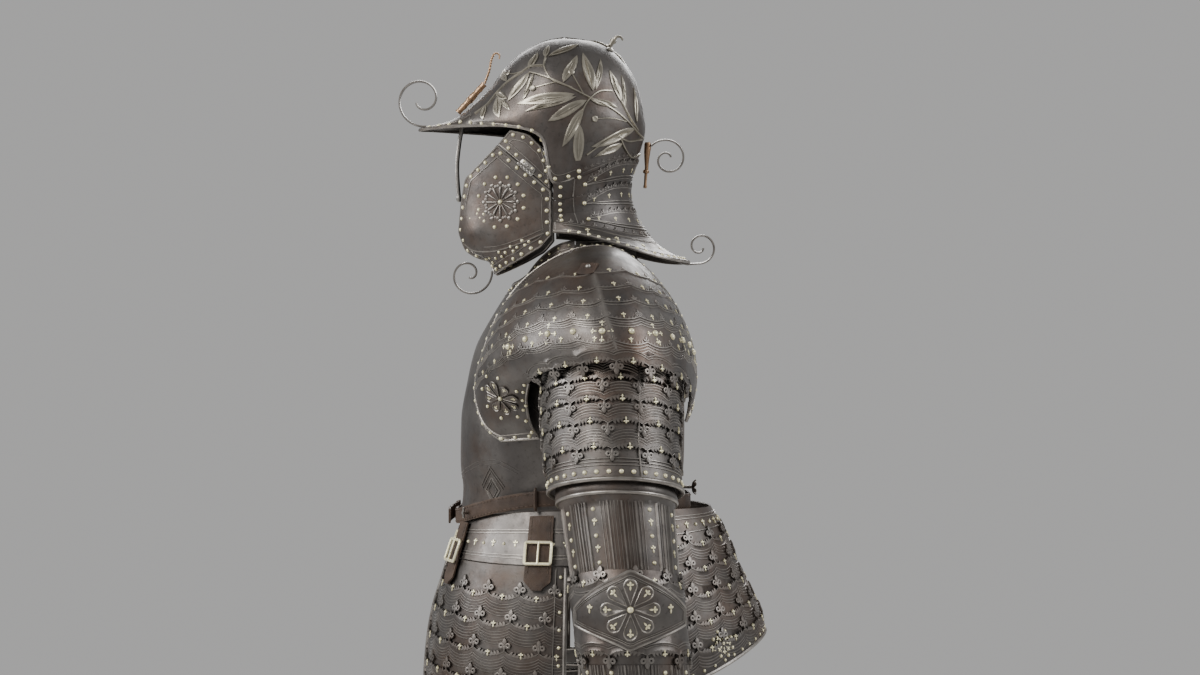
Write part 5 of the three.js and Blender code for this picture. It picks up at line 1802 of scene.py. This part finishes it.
def make_arms():
    turns = np.linspace(-35, 215, 33)
    skin, row = arm_skin(SPAUDLER, turns, 14)
    plate = Plate(skin)
    us = np.linspace(0, 32, 130)
    edges = [-16, 10, 37, 68]
    for k, drop_at in enumerate(edges):
        far = edges[k - 1] - 7 if k else -66
        lame(
            plate, us, row(drop_at), row(far), 44, 0.25, 6.5, (1.9, -1.3),
            (8.5, 12.2, 15.9, 19.6), 0.95,
        )
    plate.shell(us, np.linspace(row(60), row(103), 20), np.linspace(-1.3, 0.8, 20)[:, None])
    for d in (78, 82, 86):
        plate.line(us, row(d), 1.0, 1.0, 0.3)
    plate.bar(us, row(102.5), 3.1, 10, worn=0.8, depth=-0.2)
    plate.studs(us, row(94), 15.5, 3.1, lift=0.5)
    down = np.linspace(row(-60), row(100), 60)
    for u0 in (0.15, 31.85):
        plate.bar(u0, down, 2.2, depth=-0.6)
    plate.line((112 + 35) / 250 * 32 + 0 * down, down, 1.4, 1.2, 1.2)
    plate.finish_pair("upper_arm_lames", "upper_arm_studs", "spaudler")

    whole = np.linspace(-90, 270, 49)
    skin, row = arm_skin(UPPER_CANNON, whole, 16, True)
    plate = Plate(skin)
    us = np.linspace(0, 48, 97)[:-1]
    plate.shell(us, np.linspace(0, 15, 26), closed=True)
    plate.bar(us, row(117), 2.9, 10, True, 0.85, depth=0.6)
    fluted(plate, row, 126, 208)
    plate.finish_pair("upper_cannon_plate", "upper_cannon_studs", "upper_cannon")

    skin, row = arm_skin(ELBOW, whole, 15, True)
    plate = Plate(skin)
    us = np.linspace(0, 47.98, 150)
    lame(plate, us, row(219), row(247), 46, 0.1, 5.0, (1.6, -1.0), (9, 12))
    lame(plate, us, row(302), row(273), 46, 0.1, 5.0, (1.6, -1.0), (9, 12))
    plate.shell(us[:-1], np.linspace(row(208), row(312), 40), -1.6, 1.0, closed=True)
    plate.finish_pair("elbow_plates", "elbow_studs", "elbow_lames")

    side = np.linspace(-1, 1, 17)
    grid = []
    for j in range(9):
        rise = 1 - j / 4
        height = mixed(49, 11, np.abs(side))
        bulge = 8 * (1 - side * side) * (1 - 0.6 * rise * rise)
        grid.append(arm_points(ELBOW_DROP, 78 + bulge, 78 + bulge, 90 + side * 62, rise * height))
    couter = Skin(grid, arm_centre(np.array(float(ELBOW_DROP))))
    plate = Plate(couter)
    plate.shell(np.linspace(0, 16, 50), np.linspace(0, 8, 40))
    plate.bar(*inset(couter, 1.0, 40), 2.0, closed=True, worn=0.8)
    for mm, width in ((6.5, 1.1), (9.0, 0.8)):
        plate.line(*inset(couter, mm, 40), width, 1.1, closed=True)
    plate.rosette(8, 4, 8, 38, 1.25, 4.2)
    u, v = couter.offset(*np.array([[8.0, 8], [4, 4], [-54, 54], [0, 0]]), 6)
    plate.inlay(BRASS_FLEUR, u, v, 1.3, 0)
    plate.finish_pair("couter_plate", "couter_studs", "couter")

    skin, row = arm_skin(LOWER_CANNON, whole, 16, True)
    plate = Plate(skin)
    us = np.linspace(0, 48, 97)[:-1]
    plate.shell(us, np.linspace(0, 15, 26), closed=True)
    fluted(plate, row, 313, 440)
    plate.finish_pair("lower_cannon_plate", "lower_cannon_studs", "lower_cannon")

    grid = [
        arm_points(d, across, along, 90 + wrap * np.linspace(-1, 1, 25))
        for d, across, along, wrap in GAUNTLET
    ]
    skin = Skin(grid, arm_centre(np.array(560.0)))
    plate = Plate(skin)
    us = np.linspace(0, 24, 60)
    v = np.linspace(0, 6, 120)
    step = np.where(v > 2.6, 1.3 * ((v * 2.2) % 1.0), 0)
    # The raised edge of each step is brighter: wear with painted highlight.
    plate.shell(us, v, step[:, None] + 0 * us, worn=0.4 * (step[:, None] > 1))
    plate.rim(us, 0.02, 2.6)
    for d in (0.3, 0.42, 1.5):
        plate.line(us, d, 1.0, 1.0)
    plate.studs(us, 0.17, 15, 2.3)
    for k in range(4):
        plate.line(7.5 + 3 * k + 0 * v[50:118], v[50:118], 1.6, 1.6, 0.4)
        plate.inlay(STUD, [7.5 + 3 * k], [2.75], 3.2)
    plate.finish_pair("gauntlet_plate", "gauntlet_studs", "gauntlet")


# ---- Legs -----------------------------------------------------------------------------------

CUISSE = [
    (-566, 104, 8, 83, 94), (-720, 104, 6, 78, 86), (-840, 102, 2, 70, 76),
    (-932, 102, -2, 63, 67),
]
POLEYN = [
    (-924, 102, -2, 70, 76), (-958, 102, -2, 72, 82), (-992, 102, -2, 74, 88),
    (-1026, 102, 0, 71, 80),
    (-1056, 102, 2, 66, 70),
]
GREAVE = [
    (-1048, 102, 6, 59, 62), (-1130, 103, 14, 62, 70), (-1250, 104, 12, 51, 58),
    (-1390, 104, 8, 41, 47),
]
SABATON = [
    (-44, 46, 84), (-95, 51, 62), (-145, 50, 46), (-185, 42, 38), (-212, 26, 30), (-224, 10, 20),
]
FOOT_X, SOLE_Z = 106, -1480


def leg_skin(table, turns, rows, closed=False):
    grid = []
    for z in np.linspace(table[0][0], table[-1][0], rows):
        x, y, across, along = columns_at(table, np.array(z, float))
        x, y = x + across * np.sin(turns * RAD), y - along * np.cos(turns * RAD)
        grid.append(np.stack([x, y, z + 0 * turns], -1))
    middle = table[len(table) // 2]
    return Skin(grid, (middle[1], middle[2], middle[0]), closed)


def make_legs():
    rows = 13
    for name, node, table, wrap in [
        ("thigh_plate", "cuisse", CUISSE, 105),
        ("knee_plate", "poleyn", POLEYN, 95),
    ]:
        skin = leg_skin(table, wrap * np.linspace(-1, 1, 25), rows)
        plate = Plate(skin)
        us = np.linspace(0, 24, 60)
        v = np.linspace(0, rows - 1, 50)
        u2, v2 = np.meshgrid(us, v)
        crest = bell(u2 - 12, 0.5)
        lames = 0 * v if node == "cuisse" else 1.6 * np.abs(((v / 12 * 5) % 1.0) - 0.5)
        # The raised crest is brighter: wear with painted highlight.
        plate.shell(u2, v2, 2.0 * crest + lames[:, None], worn=0.6 * crest)
        for edge in (0.03, rows - 1.03):
            plate.rim(us, edge, 2.3)
        down = np.linspace(0.1, rows - 1.1, 40)
        for u0 in (0.1, 23.9):
            plate.bar(u0, down, 2.1)
        for d in ((0.75, 0.9) if node == "cuisse" else (1.1, rows - 2.1)):
            plate.line(us, d, 1.0, 1.0, 0.4)
        plate.studs(us, 0.4 if node == "cuisse" else 0.6, 19, 2.4)
        if node == "poleyn":
            for u0 in (21.2, 2.8):
                plate.rosette(u0, 6, 8, 20, 0, 2.6, 1.0)
        plate.finish_pair(name, name + "_studs", node)

    skin = leg_skin(GREAVE, np.linspace(0, 360, 41), 15, True)
    plate = Plate(skin)
    us, v = np.linspace(0, 40, 101)[:-1], np.linspace(0, 14, 40)
    u2, v2 = np.meshgrid(us, v)
    shin = bell(np.minimum(u2, 40 - u2), 0.9)
    # The raised shin ridge is brighter: wear with painted highlight.
    plate.shell(u2, v2, 1.6 * shin, worn=0.5 * shin, closed=True)
    for edge in (0.03, 13.97):
        plate.bar(us, edge, 2.2, closed=True)
    down = np.linspace(0.2, 13.8, 40)
    for u0 in (10.2, 29.8):
        plate.line(u0 + 0 * down, down, 1.3, 1.0)
        plate.studs(u0 + 0.8 + 0 * down, down, 48, 2.4)
    plate.studs(us, 0.6, 20, 2.2)
    plate.finish_pair("shin_plate", "shin_studs", "greave")

    angle = np.linspace(0, 180, 25) * RAD
    ys = np.linspace(-44, -224, 19)
    grid = []
    for y in ys:
        half, height = columns_at(SABATON, np.array(y, float))
        x, z = FOOT_X + half * np.cos(angle), SOLE_Z + height * np.sin(angle)
        grid.append(np.stack([x, y + 0 * angle, z], -1))
    skin = Skin(grid, (FOOT_X, -130, SOLE_Z))
    plate = Plate(skin)
    us, v = np.linspace(0, 24, 46), np.linspace(0, 18, 110)
    step = 1.4 * (1 - (v * 0.45) % 1.0)
    # The raised edge of each step is brighter: wear with painted highlight.
    plate.shell(us, v, step[:, None] + 0 * us, worn=0.4 * (step[:, None] > 1.1))
    plate.line(12 + 0 * v, v, 1.6, 1.0, 1.4)
    for k in range(7):
        plate.inlay(STUD, [2.4, 21.6], [1.5 + 2.2 * k, 1.5 + 2.2 * k], 2.2, lift=1.0)
    plate.finish_pair("foot_plate", "foot_studs", "sabaton")


# ---- The suit -------------------------------------------------------------------------------

make_camera()
make_studio()
helmet_brass = make_skull()
make_nape(helmet_brass)
piece("helmet_studs", helmet_brass, BRASS, "suit", "brass")
make_cheeks()
make_fittings()
make_torso()
make_belt()
make_skirts()
make_straps()
make_pauldrons()
make_arms()
make_legs()
